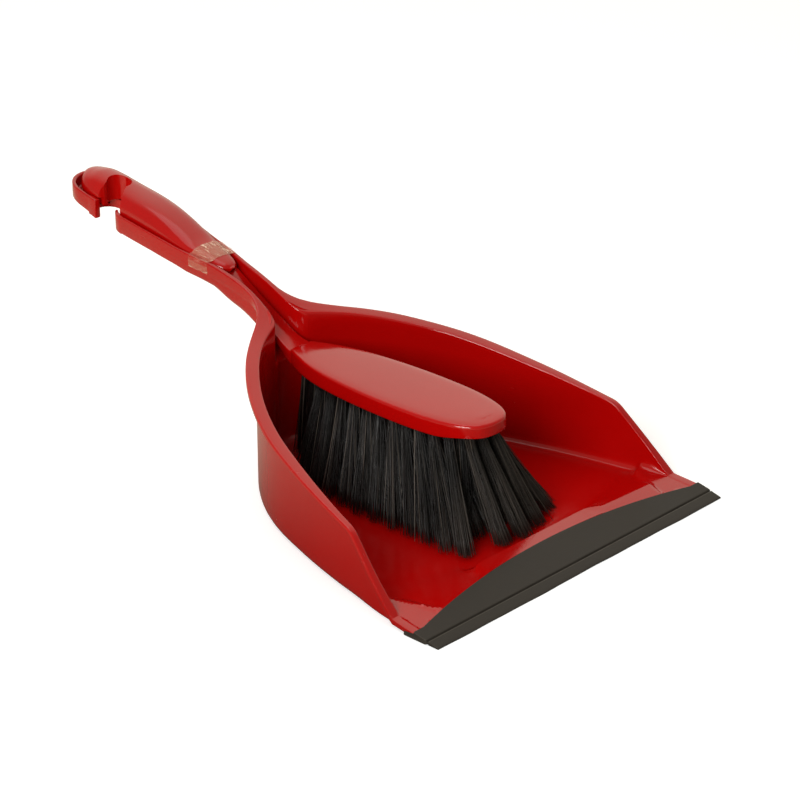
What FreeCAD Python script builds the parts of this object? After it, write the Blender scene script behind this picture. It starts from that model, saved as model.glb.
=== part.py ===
import FreeCAD, Part
import math
import os
from FreeCAD import Vector

os.makedirs("parts", exist_ok=True)

# Dustpan with a rubber lip, and a hand brush stored in it under a strip of tape.
# The handle points to +Y, the mouth faces -Y, +Z is up and Z = 0 is the floor.
# The parts are symmetric about X = 0, apart from the hanging holes and some of the tufts.
# Places along Y are stations, measured from the tip of the rubber lip.

ORIGIN_Y = 120.0        # station that becomes Y = 0 in the files
REACH = 140.0           # takes a prism past the part on every side
CUT_REACH = 150.0       # the same, for prisms that cut another prism

# ---- pan ----
FLOOR_T = 2.2           # thickness of the pan floor
CHANNEL_T = 2.0         # floor thickness of the channel under the handle
BACK_WALL_Y = 212.0     # inside face of the wall under the handle
FLANGE_T = 2.0
SKIN_T = 1.4            # turned-down edge of the flange
FRONT_SPREAD = 0.04     # widening per mm ahead of the first plan station
LINE_STEP = 9.0         # approximate length of the straight pieces of the side curves

# Plan outlines as half-widths
INNER, OUTER, FLANGE = 1, 2, 3
PLAN = [
    # y, inner face, outer face, flange edge
    (18.0, 105.6, 107.9, 110.6),
    (34.0, 104.3, 106.4, 109.5),
    (48.0, 102.8, 104.8, 107.4),
    (60.0, 100.6, 102.6, 104.9),
    (75.0, 97.6, 99.6, 101.5),
    (90.0, 93.9, 95.9, 99.2),
    (105.0, 89.8, 91.8, 96.2),
    (120.0, 85.1, 87.2, 92.2),
    (140.0, 78.0, 80.2, 86.3),
    (160.0, 67.9, 70.2, 76.9),
    (175.0, 57.7, 60.3, 67.6),
    (190.0, 44.6, 47.6, 55.3),
    (200.0, 33.2, 36.6, 45.0),
    (207.0, 23.2, 26.8, 36.4),
    (213.0, 14.2, 17.6, 27.8),
    (218.0, 9.4, 12.0, 20.6),
    (224.0, 7.0, 9.0, 13.6),
    (230.0, 6.4, 7.9, 10.0),
    (237.0, 6.2, 7.6, 8.8),
    (246.0, 6.3, 7.7, 8.8),
    (255.0, 6.9, 8.3, 9.3),
    (264.0, 8.2, 9.7, 10.5),
    (272.0, 9.6, 11.1, 11.9),
    (282.0, 11.0, 12.5, 13.2),
    (292.0, 12.1, 13.6, 14.3),
    (302.0, 13.1, 14.6, 15.3),
    (314.0, 13.8, 15.3, 16.0),
    (330.0, 14.0, 15.5, 16.2),
    (348.0, 14.0, 15.5, 16.2),
    (365.5, 14.0, 15.5, 16.2),
]
# Side curves as (y, z): top of the rim, and underside of the handle
RIM = [
    (66.5, 38.4), (85, 42.8), (100, 46.4), (120, 51.1), (140, 56.0), (160, 61.3),
    (175, 65.1), (190, 69.2), (200, 71.8), (208, 74.0), (215, 76.8), (223, 80.9),
    (232, 85.6), (238, 88.3), (245, 90.8), (255, 93.5), (265, 96.1), (280, 99.9),
    (290, 102.3), (300, 104.6), (310, 106.5), (330, 109.7), (350, 112.8),
    (370, 115.8), (390, 118.8),
]
UNDER = [
    (214, 51.0), (223, 56.8), (232, 61.6), (241, 66.2), (252, 70.8), (264, 75.9),
    (272, 79.4), (280, 83.5), (290, 88.4), (300, 92.0), (310, 94.4), (330, 97.6),
    (350, 100.8), (370, 103.9), (390, 107.0),
]
FRONT_Y = 17.8          # front end of the side walls and flange
FRONT_EDGE = [(FRONT_Y, 6.4), (25.0, 6.5), (34.0, 6.8)]     # y, z up to the sloping edge
FLANGE_FRONT_Z, SKIN_FRONT_Z = 4.4, 3.4                     # undersides at FRONT_Y
SKIN_DROP = [           # y, depth of the skin below the rim
    (10, 3.0), (205, 3.2), (222, 5.0), (234, 6.8), (258, 7.4), (276, 11.4), (390, 11.6),
]

# Sill: the raised strip across the mouth, with the bed of the rubber on its front
TOE_Y, TOE_BOTTOM, TOE_TOP = 9.7, 0.95, 1.72    # thin front edge of the sill
STEP_Y = 15.0           # the underside steps down to the floor here
BED_SLOPE = 0.2192
SILL_Z = 6.4
SILL_BASE_Z = 1.5       # bottom of the sill, inside the pan floor
SILL_STATIONS = [       # x, y of the rear top edge, y of the rear foot
    (42, 36.4, 40.0), (48, 31.5, 41.0), (112, 25.0, 56.0),
]

# Hanging holes of the pan and the brush, one above the other, open towards -X
HANG_X, HANG_Y = -3.0, 345.0
HANG_CUT_X = 30.0       # reach of the opening from the hole's centre
PAN_HOLE_R, PAN_GAP = 8.8, (337.0, 353.0)       # radius, stations of the opening
BRUSH_HOLE_R, BRUSH_GAP = 8.6, (335.6, 348.6)
COLLAR_T, COLLAR_H = 1.6, 3.2                   # ring round the pan's hole

# ---- rubber lip ----
LIP_HALF = 111.0        # half-width
HINGE_Y, HINGE_Z, HINGE_R = 7.4, 1.35, 1.10
HINGE_INSET = 0.02      # the blade meets the knuckle this far inside its radius
BLADE_TIP_Z = (0.05, 0.70)
LIP_REAR_MID, LIP_REAR_END = 29.4, 16.4         # rear edge at X = 0 and at its ends
LIP_CURVE_X, LIP_CURVE_STEP = 104, 13           # half-length and point spacing in X
LIP_GAP = 0.15          # clearance behind the rubber
CLAMP_PROFILE = [       # y, z
    (8.65, 0.12), (8.65, 2.62), (30.6, 7.42), (30.6, 6.34),
    (9.66, 1.75), (9.66, 0.91), (14.8, 0.91), (14.8, 0.12),
]

# ---- brush ----
HEAD = [                # y, half-width
    (66.4, 0.0), (66.9, 4.6), (68.6, 9.2), (71.6, 12.9), (76.5, 16.4), (84, 19.2),
    (97, 21.0), (110, 21.9), (124, 22.3), (140, 22.1), (158, 20.9), (173, 18.8),
    (184, 16.2), (193, 13.2), (200, 10.2), (205, 7.8),
]
HEAD_PIECES = 44        # straight pieces in half of the head's outline
HEAD_TOP, HEAD_T = 63.6, 10.8
HEAD_EDGE_R = 2.0       # rounding of the head's top edge
FACE_Z = HEAD_TOP - HEAD_T                      # underside of the head
NECK = [                # y, half-width, top, bottom
    (197, 8.6, 60.5, 53.6), (206, 8.0, 61.6, 54.4), (212, 6.8, 63.6, 56.6),
    (222, 5.4, 69.1, 62.0), (235, 4.6, 76.2, 69.0), (262, 4.4, 91.0, 84.0),
    (274, 4.4, 96.4, 89.6),
]
GRIP = [                # y, half-width, crown above the rim, depth below the rim
    (259.6, 2.4, 2.6, 1.0), (261.0, 4.6, 4.2, 2.6), (264.0, 6.4, 5.9, 4.2),
    (268.0, 7.8, 7.0, 5.2), (275.0, 9.4, 7.9, 5.8), (285.0, 10.7, 7.9, 6.0),
    (300.0, 12.2, 7.7, 6.0), (315.0, 13.0, 8.0, 6.0), (335.0, 13.2, 8.8, 6.0),
    (352.0, 13.2, 9.0, 6.0), (362.0, 13.1, 8.8, 6.0), (369.0, 11.9, 8.3, 5.6),
    (374.0, 9.4, 7.2, 4.8), (377.0, 6.4, 5.6, 3.6), (378.6, 3.4, 3.6, 2.0),
]
GRIP_SPRING = 0.6       # the crown's arc starts this far below the rim
GRIP_ARC_PIECES = 14

# ---- bristle tufts ----
HOLE_R, HOLE_DEPTH = 2.7, 7.5
TUFT_R, TUFT_TIP_Z = 2.64, 2.9
TUFT_SIDES = 14
TUFT_FLARE_DROP = 0.6   # the tuft starts to spread this far below the head
TUFT_TOP_GAP, ANCHOR_TOP_GAP = 0.4, 0.5         # below the bottom of the hole
ANCHOR_X, ANCHOR_Y, ANCHOR_Z = 5.2, 0.45, 2.0   # anchor plate
SLOT_EXTRA_X, SLOT_EXTRA = 2.0, 0.1             # slot larger than the plate, in X and in Y, Z
ROWS, ROOT_Y0, ROOT_PITCH = 14, 74.0, 9.3
ROOT_MARGIN, ROOT_MAX_X = 5.6, 15.8             # outermost root: from the head's edge, limit
TIP_Y0, TIP_SPAN = 73.0, 124.0                  # tips from the third row to the last
TIP_REACH, TIP_TAPER = 43.0, 1.6                # half-width of the tips, its loss per row
TAPER_ROW = 7                                   # the taper counts from this row index
WALL_AHEAD, WALL_CLEAR = 6.5, 3.0               # tips to pan wall: station offset, distance
TIP_GAP, TIP_HALF_Y = 0.12, 5.2
# Row index: root x of the rows that don't have four evenly spread tufts
ROOT_XS = {0: (-8.6, 0.0, 8.6), ROWS - 2: (-8.6, 0.0, 8.6), ROWS - 1: (-5.2, 5.2)}
# Row index: tip x, tip y (None = regular), tip half-sizes in X and Y
END_TIPS = {
    0: ((-12.5, 0.5, 15.0), (50.2, 45.8, 51.0), 5.0, 4.2),
    1: ((-31.0, -10.0, 10.0, 31.0), (54.5, 61.5, 61.5, 54.5), 4.4, 4.0),
    ROWS - 2: ((-13.0, 0.0, 13.0), None, 6.2, TIP_HALF_Y),
    ROWS - 1: ((-5.5, 5.5), None, 5.0, TIP_HALF_Y),
}

# ---- tape ----
TAPE_STATIONS = (265.5, 268.0, 271.5, 275.0, 278.8)
TAPE_T, TAPE_GAP = 0.25, 0.30                   # thickness, clearance beside the flange
TAPE_SPREAD = 1.15      # the outer face moves this many thicknesses from TAPE_FOCUS
TAPE_FOCUS = 8.0        # depth of that centre below the rim
TAPE_HANG, TAPE_LIFT = 7.0, 0.35                # ends below the rim, bends above it
TAPE_ARC_DROP, TAPE_ARC_SIDE, TAPE_ARC_RISE = 0.2, 0.5, 0.9     # arc over the grip


# ---- helpers ----
def value_at(table, y, column=1):
    """Column of a table at station y, interpolated and held level past its ends."""
    if y <= table[0][0]:
        return table[0][column]
    for a, b in zip(table, table[1:]):
        if y <= b[0]:
            t = (y - a[0]) / (b[0] - a[0])
            return a[column] + t * (b[column] - a[column])
    return table[-1][column]


def curve_points(points, pieces):
    """Points at even parameter steps on a smooth curve through the given points."""
    curve = Part.BSplineCurve()
    curve.interpolate(points)
    first, last = curve.FirstParameter, curve.LastParameter
    return [curve.value(first + (last - first) * i / pieces) for i in range(pieces + 1)]


def side_line(table):
    pieces = int((table[-1][0] - table[0][0]) / LINE_STEP)
    return [(p.y, p.z) for p in curve_points([Vector(0, y, z) for y, z in table], pieces)]


def closed(points):
    return Part.makePolygon(points + [points[0]])


def lines(points):
    return [Part.makeLine(a, b) for a, b in zip(points, points[1:])]


def face_of(edges):
    return Part.Face(Part.Wire(Part.__sortEdges__(edges)))


def loft(sections):
    return Part.makeLoft(sections, True, True)


def prism_z(face, z0, z1=REACH):
    face = face.copy()
    face.translate(Vector(0, 0, z0))
    return face.extrude(Vector(0, 0, z1 - z0))


def prism_x(profile, half=REACH):
    """Prism of a (y, z) profile, centred on X = 0."""
    face = Part.Face(closed([Vector(-half, y, z) for y, z in profile]))
    return face.extrude(Vector(2 * half, 0, 0))


def single(shape):
    """Merge split faces and unwrap a compound that holds one solid."""
    merged = shape.removeSplitter()
    if merged.ShapeType == "Compound" and len(merged.Solids) == 1:
        merged = merged.Solids[0]
    return merged


def export(name, shape):
    shape = shape.copy()
    shape.translate(Vector(0, -ORIGIN_Y, 0))
    if not shape.isValid():
        shape.fix(1e-5, 1e-5, 1e-4)
    shape.exportStep("parts/%s.step" % name)


RIM_LINE = side_line(RIM)
UNDER_LINE = side_line(UNDER)
EDGE_LINE = FRONT_EDGE + RIM_LINE
HEAD_LINE = curve_points([Vector(half, y, 0) for y, half in HEAD], HEAD_PIECES)


def plan_face(column, y_front, grow=0.0):
    """Area inside a plan outline, closed at the handle by a half circle."""
    right = [Vector(row[column] + grow, row[0], 0) for row in PLAN]
    curve = Part.BSplineCurve()
    curve.interpolate(Points=right, InitialTangent=(right[1] - right[0]).normalize(),
                      FinalTangent=Vector(0, 1, 0))
    side = curve.toShape()
    mirrored = side.mirror(Vector(0, 0, 0), Vector(1, 0, 0))
    radius, y_end = right[-1].x, right[-1].y
    arc = Part.Arc(Vector(radius, y_end, 0), Vector(0, y_end + radius, 0),
                   Vector(-radius, y_end, 0)).toShape()
    start = right[0]
    x_front = start.x + (start.y - y_front) * FRONT_SPREAD
    front = lines([start, Vector(x_front, y_front, 0), Vector(-x_front, y_front, 0),
                   Vector(-start.x, start.y, 0)])
    return face_of([side, arc, mirrored] + front)


def rubber_area(gap=0.0):
    """Plan area of the rubber: all that lies ahead of its curved rear edge."""
    bow = LIP_REAR_MID - LIP_REAR_END
    end_x = LIP_CURVE_X
    end_y = LIP_REAR_END + gap
    rear = Part.BSplineCurve()
    rear.interpolate([Vector(x, LIP_REAR_MID + gap - bow * (x / end_x) ** 2, 0)
                      for x in range(-end_x, end_x + 1, LIP_CURVE_STEP)])
    corners = [(end_x, end_y), (130, end_y), (130, -10), (-130, -10), (-130, end_y),
               (-end_x, end_y)]
    return face_of([rear.toShape()] + lines([Vector(x, y, 0) for x, y in corners]))


def cut_hanging_hole(shape, radius, gap, z, height):
    """Cut the round hole, then its opening towards -X."""
    shape = shape.cut(Part.makeCylinder(radius, height, Vector(HANG_X, HANG_Y, z)))
    corner = Vector(HANG_X - HANG_CUT_X, gap[0], z)
    return shape.cut(Part.makeBox(HANG_CUT_X, gap[1] - gap[0], height, corner))


# ---- pan_shell ----
def edge_slab(drop, front_z):
    """Band below the edge line, drop(y) thick along the line's normal."""
    low = []
    for i, (y, z) in enumerate(EDGE_LINE):
        before = EDGE_LINE[max(0, i - 1)]
        after = EDGE_LINE[min(len(EDGE_LINE) - 1, i + 1)]
        dy, dz = after[0] - before[0], after[1] - before[1]
        length = math.hypot(dy, dz)
        low.append((y + drop(y) * dz / length, z - drop(y) * dy / length))
    low[0] = (FRONT_Y, front_z)
    return prism_x(EDGE_LINE + low[::-1])


def bed_z(y):
    return TOE_TOP + (y - TOE_Y) * BED_SLOPE


def sill_section(x, y_rear, y_foot):
    y_slope = y_rear - 6.0
    profile = [(TOE_Y, TOE_BOTTOM), (TOE_Y, TOE_TOP), (y_slope, bed_z(y_slope)),
               (y_rear, SILL_Z), (y_foot, SILL_BASE_Z), (STEP_Y, SILL_BASE_Z),
               (STEP_Y, TOE_BOTTOM)]
    return closed([Vector(x, y, z) for y, z in profile])


def make_sill():
    """Level strip in the middle, lofted ramps to the two front corners."""
    mid_half, y_rear, y_foot = SILL_STATIONS[0]
    middle = prism_x([(TOE_Y, TOE_BOTTOM), (TOE_Y, TOE_TOP), (30.0, 6.17), (30.4, SILL_Z),
                      (y_rear, SILL_Z), (y_foot, SILL_BASE_Z), (STEP_Y, SILL_BASE_Z),
                      (STEP_Y, TOE_BOTTOM)], mid_half)
    ramps = []
    for side in (1, -1):
        for near, far in zip(SILL_STATIONS, SILL_STATIONS[1:]):
            ramps.append(loft([sill_section(side * x, rear, foot)
                               for x, rear, foot in (near, far)]))
    return middle.fuse(ramps)


def make_collar():
    """Ring round the hanging hole, its top parallel to the channel floor."""
    base_z = value_at(UNDER_LINE, HANG_Y) + 0.3
    ring = Part.makeCylinder(PAN_HOLE_R + COLLAR_T, COLLAR_H + 3.0,
                             Vector(HANG_X, HANG_Y, base_z))
    inside_wall = prism_z(plan_face(OUTER, 5.0, -0.2), 60)
    below_top = prism_x([(y, z + CHANNEL_T + COLLAR_H) for y, z in UNDER_LINE]
                        + [(390, 60), (214, 40)])
    return ring.common(inside_wall).common(below_top)


def make_pan_shell():
    inner = plan_face(INNER, -30.0)
    outer = plan_face(OUTER, 5.0)
    flange_plan = plan_face(FLANGE, FRONT_Y)
    skin_inner = plan_face(FLANGE, 15.0, -SKIN_T)

    top_line = [(TOE_Y, TOE_TOP), (FRONT_Y, 3.50)] + EDGE_LINE
    outer_profile = [(TOE_Y, TOE_BOTTOM), (STEP_Y, TOE_BOTTOM), (STEP_Y, 0.0),
                     (214.0, 0.0)] + UNDER_LINE + top_line[::-1]
    channel = [(y, z + CHANNEL_T) for y, z in UNDER_LINE]
    channel[0] = (BACK_WALL_Y, channel[0][1] - 1.0)
    cavity_profile = [(-20.0, FLOOR_T), (BACK_WALL_Y, FLOOR_T)] + channel
    cavity_profile += [(400.0, CUT_REACH), (-20.0, CUT_REACH)]

    body = prism_z(outer, -5).common(prism_x(outer_profile))
    cavity = prism_z(inner, -6, CUT_REACH).common(prism_x(cavity_profile, CUT_REACH))
    shell = body.cut(cavity)

    # Flange round the edge, and its turned-down skin
    flange = prism_z(flange_plan, -1).cut(prism_z(inner, -2, CUT_REACH))
    flange = flange.common(edge_slab(lambda y: FLANGE_T, FLANGE_FRONT_Z))
    skin = prism_z(flange_plan, -1).cut(prism_z(skin_inner, -2, CUT_REACH))
    skin = skin.common(edge_slab(lambda y: value_at(SKIN_DROP, y), SKIN_FRONT_Z))
    shell = shell.fuse([flange, skin])

    # Nothing may stand above the bed where the rubber lies
    sill = make_sill().common(prism_z(outer, -5, 60))
    above_bed = prism_x([(0, bed_z(0)), (60, bed_z(60)), (60, 40), (0, 40)])
    bed_cut = prism_z(rubber_area(LIP_GAP), -5, 60).common(above_bed)
    shell = shell.fuse(sill).cut(bed_cut)

    shell = shell.fuse(make_collar())
    return single(cut_hanging_hole(shell, PAN_HOLE_R, PAN_GAP, 80, 60))


# ---- rubber lip ----
def make_lip_clamp():
    return single(prism_x(CLAMP_PROFILE, LIP_HALF).common(prism_z(rubber_area(), -5, 20)))


def make_lip_blade():
    rise = HINGE_R - HINGE_INSET
    blade = prism_x([(0.0, BLADE_TIP_Z[0]), (0.0, BLADE_TIP_Z[1]),
                     (HINGE_Y, HINGE_Z + rise), (HINGE_Y, HINGE_Z - rise)], LIP_HALF)
    knuckle = Part.makeCylinder(HINGE_R, 2 * LIP_HALF, Vector(-LIP_HALF, HINGE_Y, HINGE_Z),
                                Vector(1, 0, 0))
    return single(blade.fuse(knuckle))


# ---- brush_stock ----
def head_section(inset, z):
    """Head outline moved inwards by inset, at height z."""
    last = len(HEAD_LINE) - 1
    half = [Vector(0, HEAD_LINE[0].y + inset, z)]
    for i in range(1, last + 1):
        along = HEAD_LINE[min(i + 1, last)] - HEAD_LINE[i - 1]
        along.normalize()
        moved = HEAD_LINE[i] + Vector(-along.y, along.x, 0).multiply(inset)
        # keep points off the centre line and ahead of the moved rear end
        half.append(Vector(max(moved.x, 0.02 * i), min(moved.y, HEAD[-1][0] - inset), z))
    return closed(half + [Vector(-p.x, p.y, z) for p in reversed(half[1:])])


def make_head():
    sections = [head_section(0.0, FACE_Z)]
    for degrees in (0.0, 22.5, 45.0, 67.5, 90.0):
        angle = math.radians(degrees)
        sections.append(head_section(HEAD_EDGE_R * (1 - math.cos(angle)),
                                     HEAD_TOP - HEAD_EDGE_R + HEAD_EDGE_R * math.sin(angle)))
    return loft(sections)


def neck_section(y, half, top, bottom):
    return closed([Vector(-half, y, bottom), Vector(half, y, bottom),
                   Vector(half, y, top), Vector(-half, y, top)])


def grip_section(y, half, crown, depth):
    """Half ellipse on a flat-bottomed block."""
    rim = value_at(RIM_LINE, y)
    points = []
    for i in range(GRIP_ARC_PIECES + 1):
        angle = math.pi * i / GRIP_ARC_PIECES
        points.append(Vector(half * math.cos(angle), y,
                             rim - GRIP_SPRING + (crown + GRIP_SPRING) * math.sin(angle)))
    points += [Vector(-half, y, rim - depth), Vector(half, y, rim - depth)]
    return closed(points)


def make_brush_stock(roots):
    neck = loft([neck_section(*row) for row in NECK])
    grip = loft([grip_section(*row) for row in GRIP])
    grip = cut_hanging_hole(grip, BRUSH_HOLE_R, BRUSH_GAP, 70, 80)
    stock = make_head().fuse([neck, grip])
    holes = [Part.makeCylinder(HOLE_R, HOLE_DEPTH + 1.0, Vector(x, y, FACE_Z - 1.0))
             for x, y in roots]
    return single(stock.cut(holes))


# ---- tufts and anchors ----
def tuft_row(i):
    """Tufts of row i: root x, root y, tip x, tip y, tip half-sizes in X and Y."""
    root_y = ROOT_Y0 + ROOT_PITCH * i
    outermost = min(value_at(HEAD, root_y) - ROOT_MARGIN, ROOT_MAX_X)
    spread = (-outermost, -outermost / 3.0, outermost / 3.0, outermost)
    root_xs = ROOT_XS.get(i, spread)
    count = len(root_xs)
    tip_y = TIP_Y0 + (i - 2) / (ROWS - 3.0) * TIP_SPAN
    if i in END_TIPS:
        tip_xs, tip_ys, half_x, half_y = END_TIPS[i]
    else:
        reach = min(TIP_REACH - max(0, i - TAPER_ROW) * TIP_TAPER,
                    value_at(PLAN, tip_y + WALL_AHEAD) - WALL_CLEAR)
        tip_xs = [-reach + reach / count + 2.0 * reach / count * j for j in range(count)]
        tip_ys, half_x, half_y = None, reach / count - TIP_GAP, TIP_HALF_Y
    return [(root_x, root_y, tip_x, y, half_x, half_y)
            for root_x, tip_x, y in zip(root_xs, tip_xs, tip_ys or [tip_y] * count)]


def tuft_ring(x, y, z, radius_x, radius_y):
    points = []
    for i in range(TUFT_SIDES):
        angle = 2 * math.pi * (i + 0.5) / TUFT_SIDES
        points.append(Vector(x + radius_x * math.cos(angle), y + radius_y * math.sin(angle), z))
    return closed(points)


def anchor_box(x, y, extra_x=0.0, extra=0.0):
    """Anchor plate in the root at x, y, or its slot when made larger."""
    z = FACE_Z + HOLE_DEPTH - ANCHOR_TOP_GAP - ANCHOR_Z
    corner = Vector(x - (ANCHOR_X + extra_x) / 2, y - (ANCHOR_Y + extra) / 2, z - extra / 2)
    return Part.makeBox(ANCHOR_X + extra_x, ANCHOR_Y + extra, ANCHOR_Z + extra, corner)


def make_tuft(x, y, tip_x, tip_y, half_x, half_y):
    """Straight root up the hole, slotted for the anchor, and a spreading part below."""
    flare_z = FACE_Z - TUFT_FLARE_DROP
    top_z = FACE_Z + HOLE_DEPTH - TUFT_TOP_GAP
    lower = loft([tuft_ring(tip_x, tip_y, TUFT_TIP_Z, half_x, half_y),
                  tuft_ring(x, y, flare_z, TUFT_R, TUFT_R)])
    upper = loft([tuft_ring(x, y, z, TUFT_R, TUFT_R) for z in (flare_z, top_z)])
    return single(lower.fuse(upper).cut(anchor_box(x, y, SLOT_EXTRA_X, SLOT_EXTRA)))


# ---- tape_strip ----
def tape_section(y):
    """Strip up one side of the flange, over the grip and down the other side."""
    side = value_at(PLAN, y, FLANGE) + TAPE_GAP
    grip_half, crown = value_at(GRIP, y, 1), value_at(GRIP, y, 2)
    rim = value_at(RIM_LINE, y)
    end_z, bend_z = rim - TAPE_HANG, rim + TAPE_LIFT
    bends = [(side, bend_z)]
    for i in range(1, 10):
        angle = math.pi * i / 10
        bends.append(((grip_half + TAPE_ARC_SIDE) * math.cos(angle),
                      rim - TAPE_ARC_DROP + (crown + TAPE_ARC_RISE) * math.sin(angle)))
    bends.append((-side, bend_z))
    inner = [(side, end_z)] + bends + [(-side, end_z)]
    outer = [(side + TAPE_T, end_z)]
    for x, z in bends:
        away = Vector(x, 0, z - (rim - TAPE_FOCUS))
        away.normalize()
        outer.append((x + away.x * TAPE_T * TAPE_SPREAD, z + away.z * TAPE_T * TAPE_SPREAD))
    outer.append((-side - TAPE_T, end_z))
    return closed([Vector(x, y, z) for x, z in inner + outer[::-1]])


export("pan_shell", make_pan_shell())
export("lip_clamp", make_lip_clamp())
export("lip_blade", make_lip_blade())

tuft_rows = [tuft_row(i) for i in range(ROWS)]
for number, row in enumerate(tuft_rows, 1):
    export("tuft_row_%02d" % number, Part.makeCompound([make_tuft(*tuft) for tuft in row]))
roots = [tuft[:2] for row in tuft_rows for tuft in row]
export("brush_stock", make_brush_stock(roots))
export("tuft_anchors", Part.makeCompound([anchor_box(x, y) for x, y in roots]))
export("tape_strip", loft([tape_section(y) for y in TAPE_STATIONS]))
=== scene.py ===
# Dustpan with a rubber lip, and a hand brush lying in it, taped at the handle.
# X runs across and is symmetric but for the hanging hook, open at -X. Y runs from the lip at
# the front to the handle's end at the back. Z is up and the pan stands on z = 0.
# Shapes are in millimetres, with Y counted from the tip of the lip; to_metres() converts them.
import bpy
import bmesh
import math
import numpy as np
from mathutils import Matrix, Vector


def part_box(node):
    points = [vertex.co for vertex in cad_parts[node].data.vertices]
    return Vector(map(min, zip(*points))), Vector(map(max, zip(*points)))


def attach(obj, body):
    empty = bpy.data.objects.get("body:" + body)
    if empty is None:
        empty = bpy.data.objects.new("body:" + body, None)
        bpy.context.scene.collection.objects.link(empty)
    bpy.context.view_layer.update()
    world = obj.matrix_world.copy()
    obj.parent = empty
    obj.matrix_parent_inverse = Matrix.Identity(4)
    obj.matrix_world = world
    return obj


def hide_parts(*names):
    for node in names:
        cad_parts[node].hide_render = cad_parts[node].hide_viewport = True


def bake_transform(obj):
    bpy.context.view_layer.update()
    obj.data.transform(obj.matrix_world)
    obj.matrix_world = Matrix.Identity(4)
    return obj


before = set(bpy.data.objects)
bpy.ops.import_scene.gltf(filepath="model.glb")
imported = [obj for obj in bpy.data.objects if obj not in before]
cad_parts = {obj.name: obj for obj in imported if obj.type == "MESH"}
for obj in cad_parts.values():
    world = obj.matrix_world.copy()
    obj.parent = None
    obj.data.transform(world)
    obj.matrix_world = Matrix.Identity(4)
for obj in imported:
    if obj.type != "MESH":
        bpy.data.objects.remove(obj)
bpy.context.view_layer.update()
Y0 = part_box("lip_blade")[0].y * 1000.0        # the lip's tip in the frame, mm


def to_metres(points):
    moved = np.array(points, float)
    moved[..., 1] += Y0
    return moved * 0.001


# ------------------------------------------------------------------ curves
def lerp(a, b, t):
    return a + (b - a) * t


def sstep(t):
    """Smooth step from 0 to 1."""
    t = np.clip(t, 0.0, 1.0)
    return t * t * (3 - 2 * t)


def natural(xs, ys):
    """Natural cubic spline through the points; ys may have several columns."""
    xs, ys = np.asarray(xs, float), np.asarray(ys, float)
    n = len(xs)
    h = np.diff(xs)
    matrix = np.zeros((n, n))
    right = np.zeros((n,) + ys.shape[1:])
    matrix[0, 0] = matrix[-1, -1] = 1
    for i in range(1, n - 1):
        matrix[i, i - 1:i + 2] = h[i - 1], 2 * (h[i - 1] + h[i]), h[i]
        right[i] = 6 * ((ys[i + 1] - ys[i]) / h[i] - (ys[i] - ys[i - 1]) / h[i - 1])
    bend = np.linalg.solve(matrix, right.reshape(n, -1)).reshape(right.shape)

    def curve(x):
        x = np.clip(np.asarray(x, float), xs[0], xs[-1])
        i = np.clip(np.searchsorted(xs, x) - 1, 0, n - 2)
        span, before, after = h[i], x - xs[i], xs[i + 1] - x
        if ys.ndim > 1:
            span, before, after = span[..., None], before[..., None], after[..., None]
        return ((bend[i] * after ** 3 + bend[i + 1] * before ** 3) / (6 * span)
                + (ys[i] / span - bend[i] * span / 6) * after
                + (ys[i + 1] / span - bend[i + 1] * span / 6) * before)

    return curve


def pchip(xs, ys):
    """Monotone cubic through the points."""
    xs, ys = np.asarray(xs, float), np.asarray(ys, float)
    h, d = np.diff(xs), np.diff(ys) / np.diff(xs)
    slope = np.zeros(len(xs))
    for i in range(1, len(xs) - 1):
        if d[i - 1] * d[i] > 0:
            w1, w2 = 2 * h[i] + h[i - 1], h[i] + 2 * h[i - 1]
            slope[i] = (w1 + w2) / (w1 / d[i - 1] + w2 / d[i])
    slope[0], slope[-1] = d[0], d[-1]

    def curve(x):
        x = np.clip(np.asarray(x, float), xs[0], xs[-1])
        i = np.clip(np.searchsorted(xs, x) - 1, 0, len(xs) - 2)
        t = (x - xs[i]) / h[i]
        return ((1 + 2 * t) * (1 - t) ** 2 * ys[i] + t * (1 - t) ** 2 * h[i] * slope[i]
                + t * t * (3 - 2 * t) * ys[i + 1] + t * t * (t - 1) * h[i] * slope[i + 1])

    return curve


def pchip_rows(*rows):
    """Monotone cubic through (x, value) rows."""
    return pchip(*np.array(rows, float).T)


def pchip_columns(xs, table):
    """One monotone cubic per column of the table, evaluated together."""
    curves = [pchip(xs, column) for column in table.T]
    return lambda x: [float(curve(x)) for curve in curves]


def arc_lengths(points):
    """Running length along the first two columns."""
    return np.concatenate([[0], np.cumsum(np.hypot(*np.diff(points[:, :2], axis=0).T))])


# ------------------------------------------------------------------ meshes
class Bag:
    """Vertices and faces of one mesh while it is put together."""

    def __init__(self):
        self.verts, self.faces = [], []

    def add(self, points):
        """Add an array of points and return their numbers in the same layout."""
        points = np.asarray(points, float)
        first = len(self.verts)
        self.verts.extend(points.reshape(-1, 3).tolist())
        return (first + np.arange(points.size // 3)).reshape(points.shape[:-1])

    def grid(self, index):
        """Quads over a 2D array of vertex numbers."""
        g = np.asarray(index)
        quads = np.stack([g[:-1, :-1], g[1:, :-1], g[1:, 1:], g[:-1, 1:]], -1)
        self.faces += quads.reshape(-1, 4).tolist()

    def tube(self, sections):
        """Closed sections of equal length joined in order, with both ends capped."""
        g = self.add(sections)
        self.grid(np.concatenate([g, g[:, :1]], 1))
        self.faces += [g[0].tolist()[::-1], g[-1].tolist()]


def add_object(name, verts_mm, faces):
    """Smooth-shaded mesh object from millimetre points."""
    me = bpy.data.meshes.new(name)
    me.from_pydata(to_metres(verts_mm).tolist(), [], faces)
    me.update()
    for face in me.polygons:
        face.use_smooth = True
    ob = bpy.data.objects.new(name, me)
    bpy.context.scene.collection.objects.link(ob)
    return ob


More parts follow.
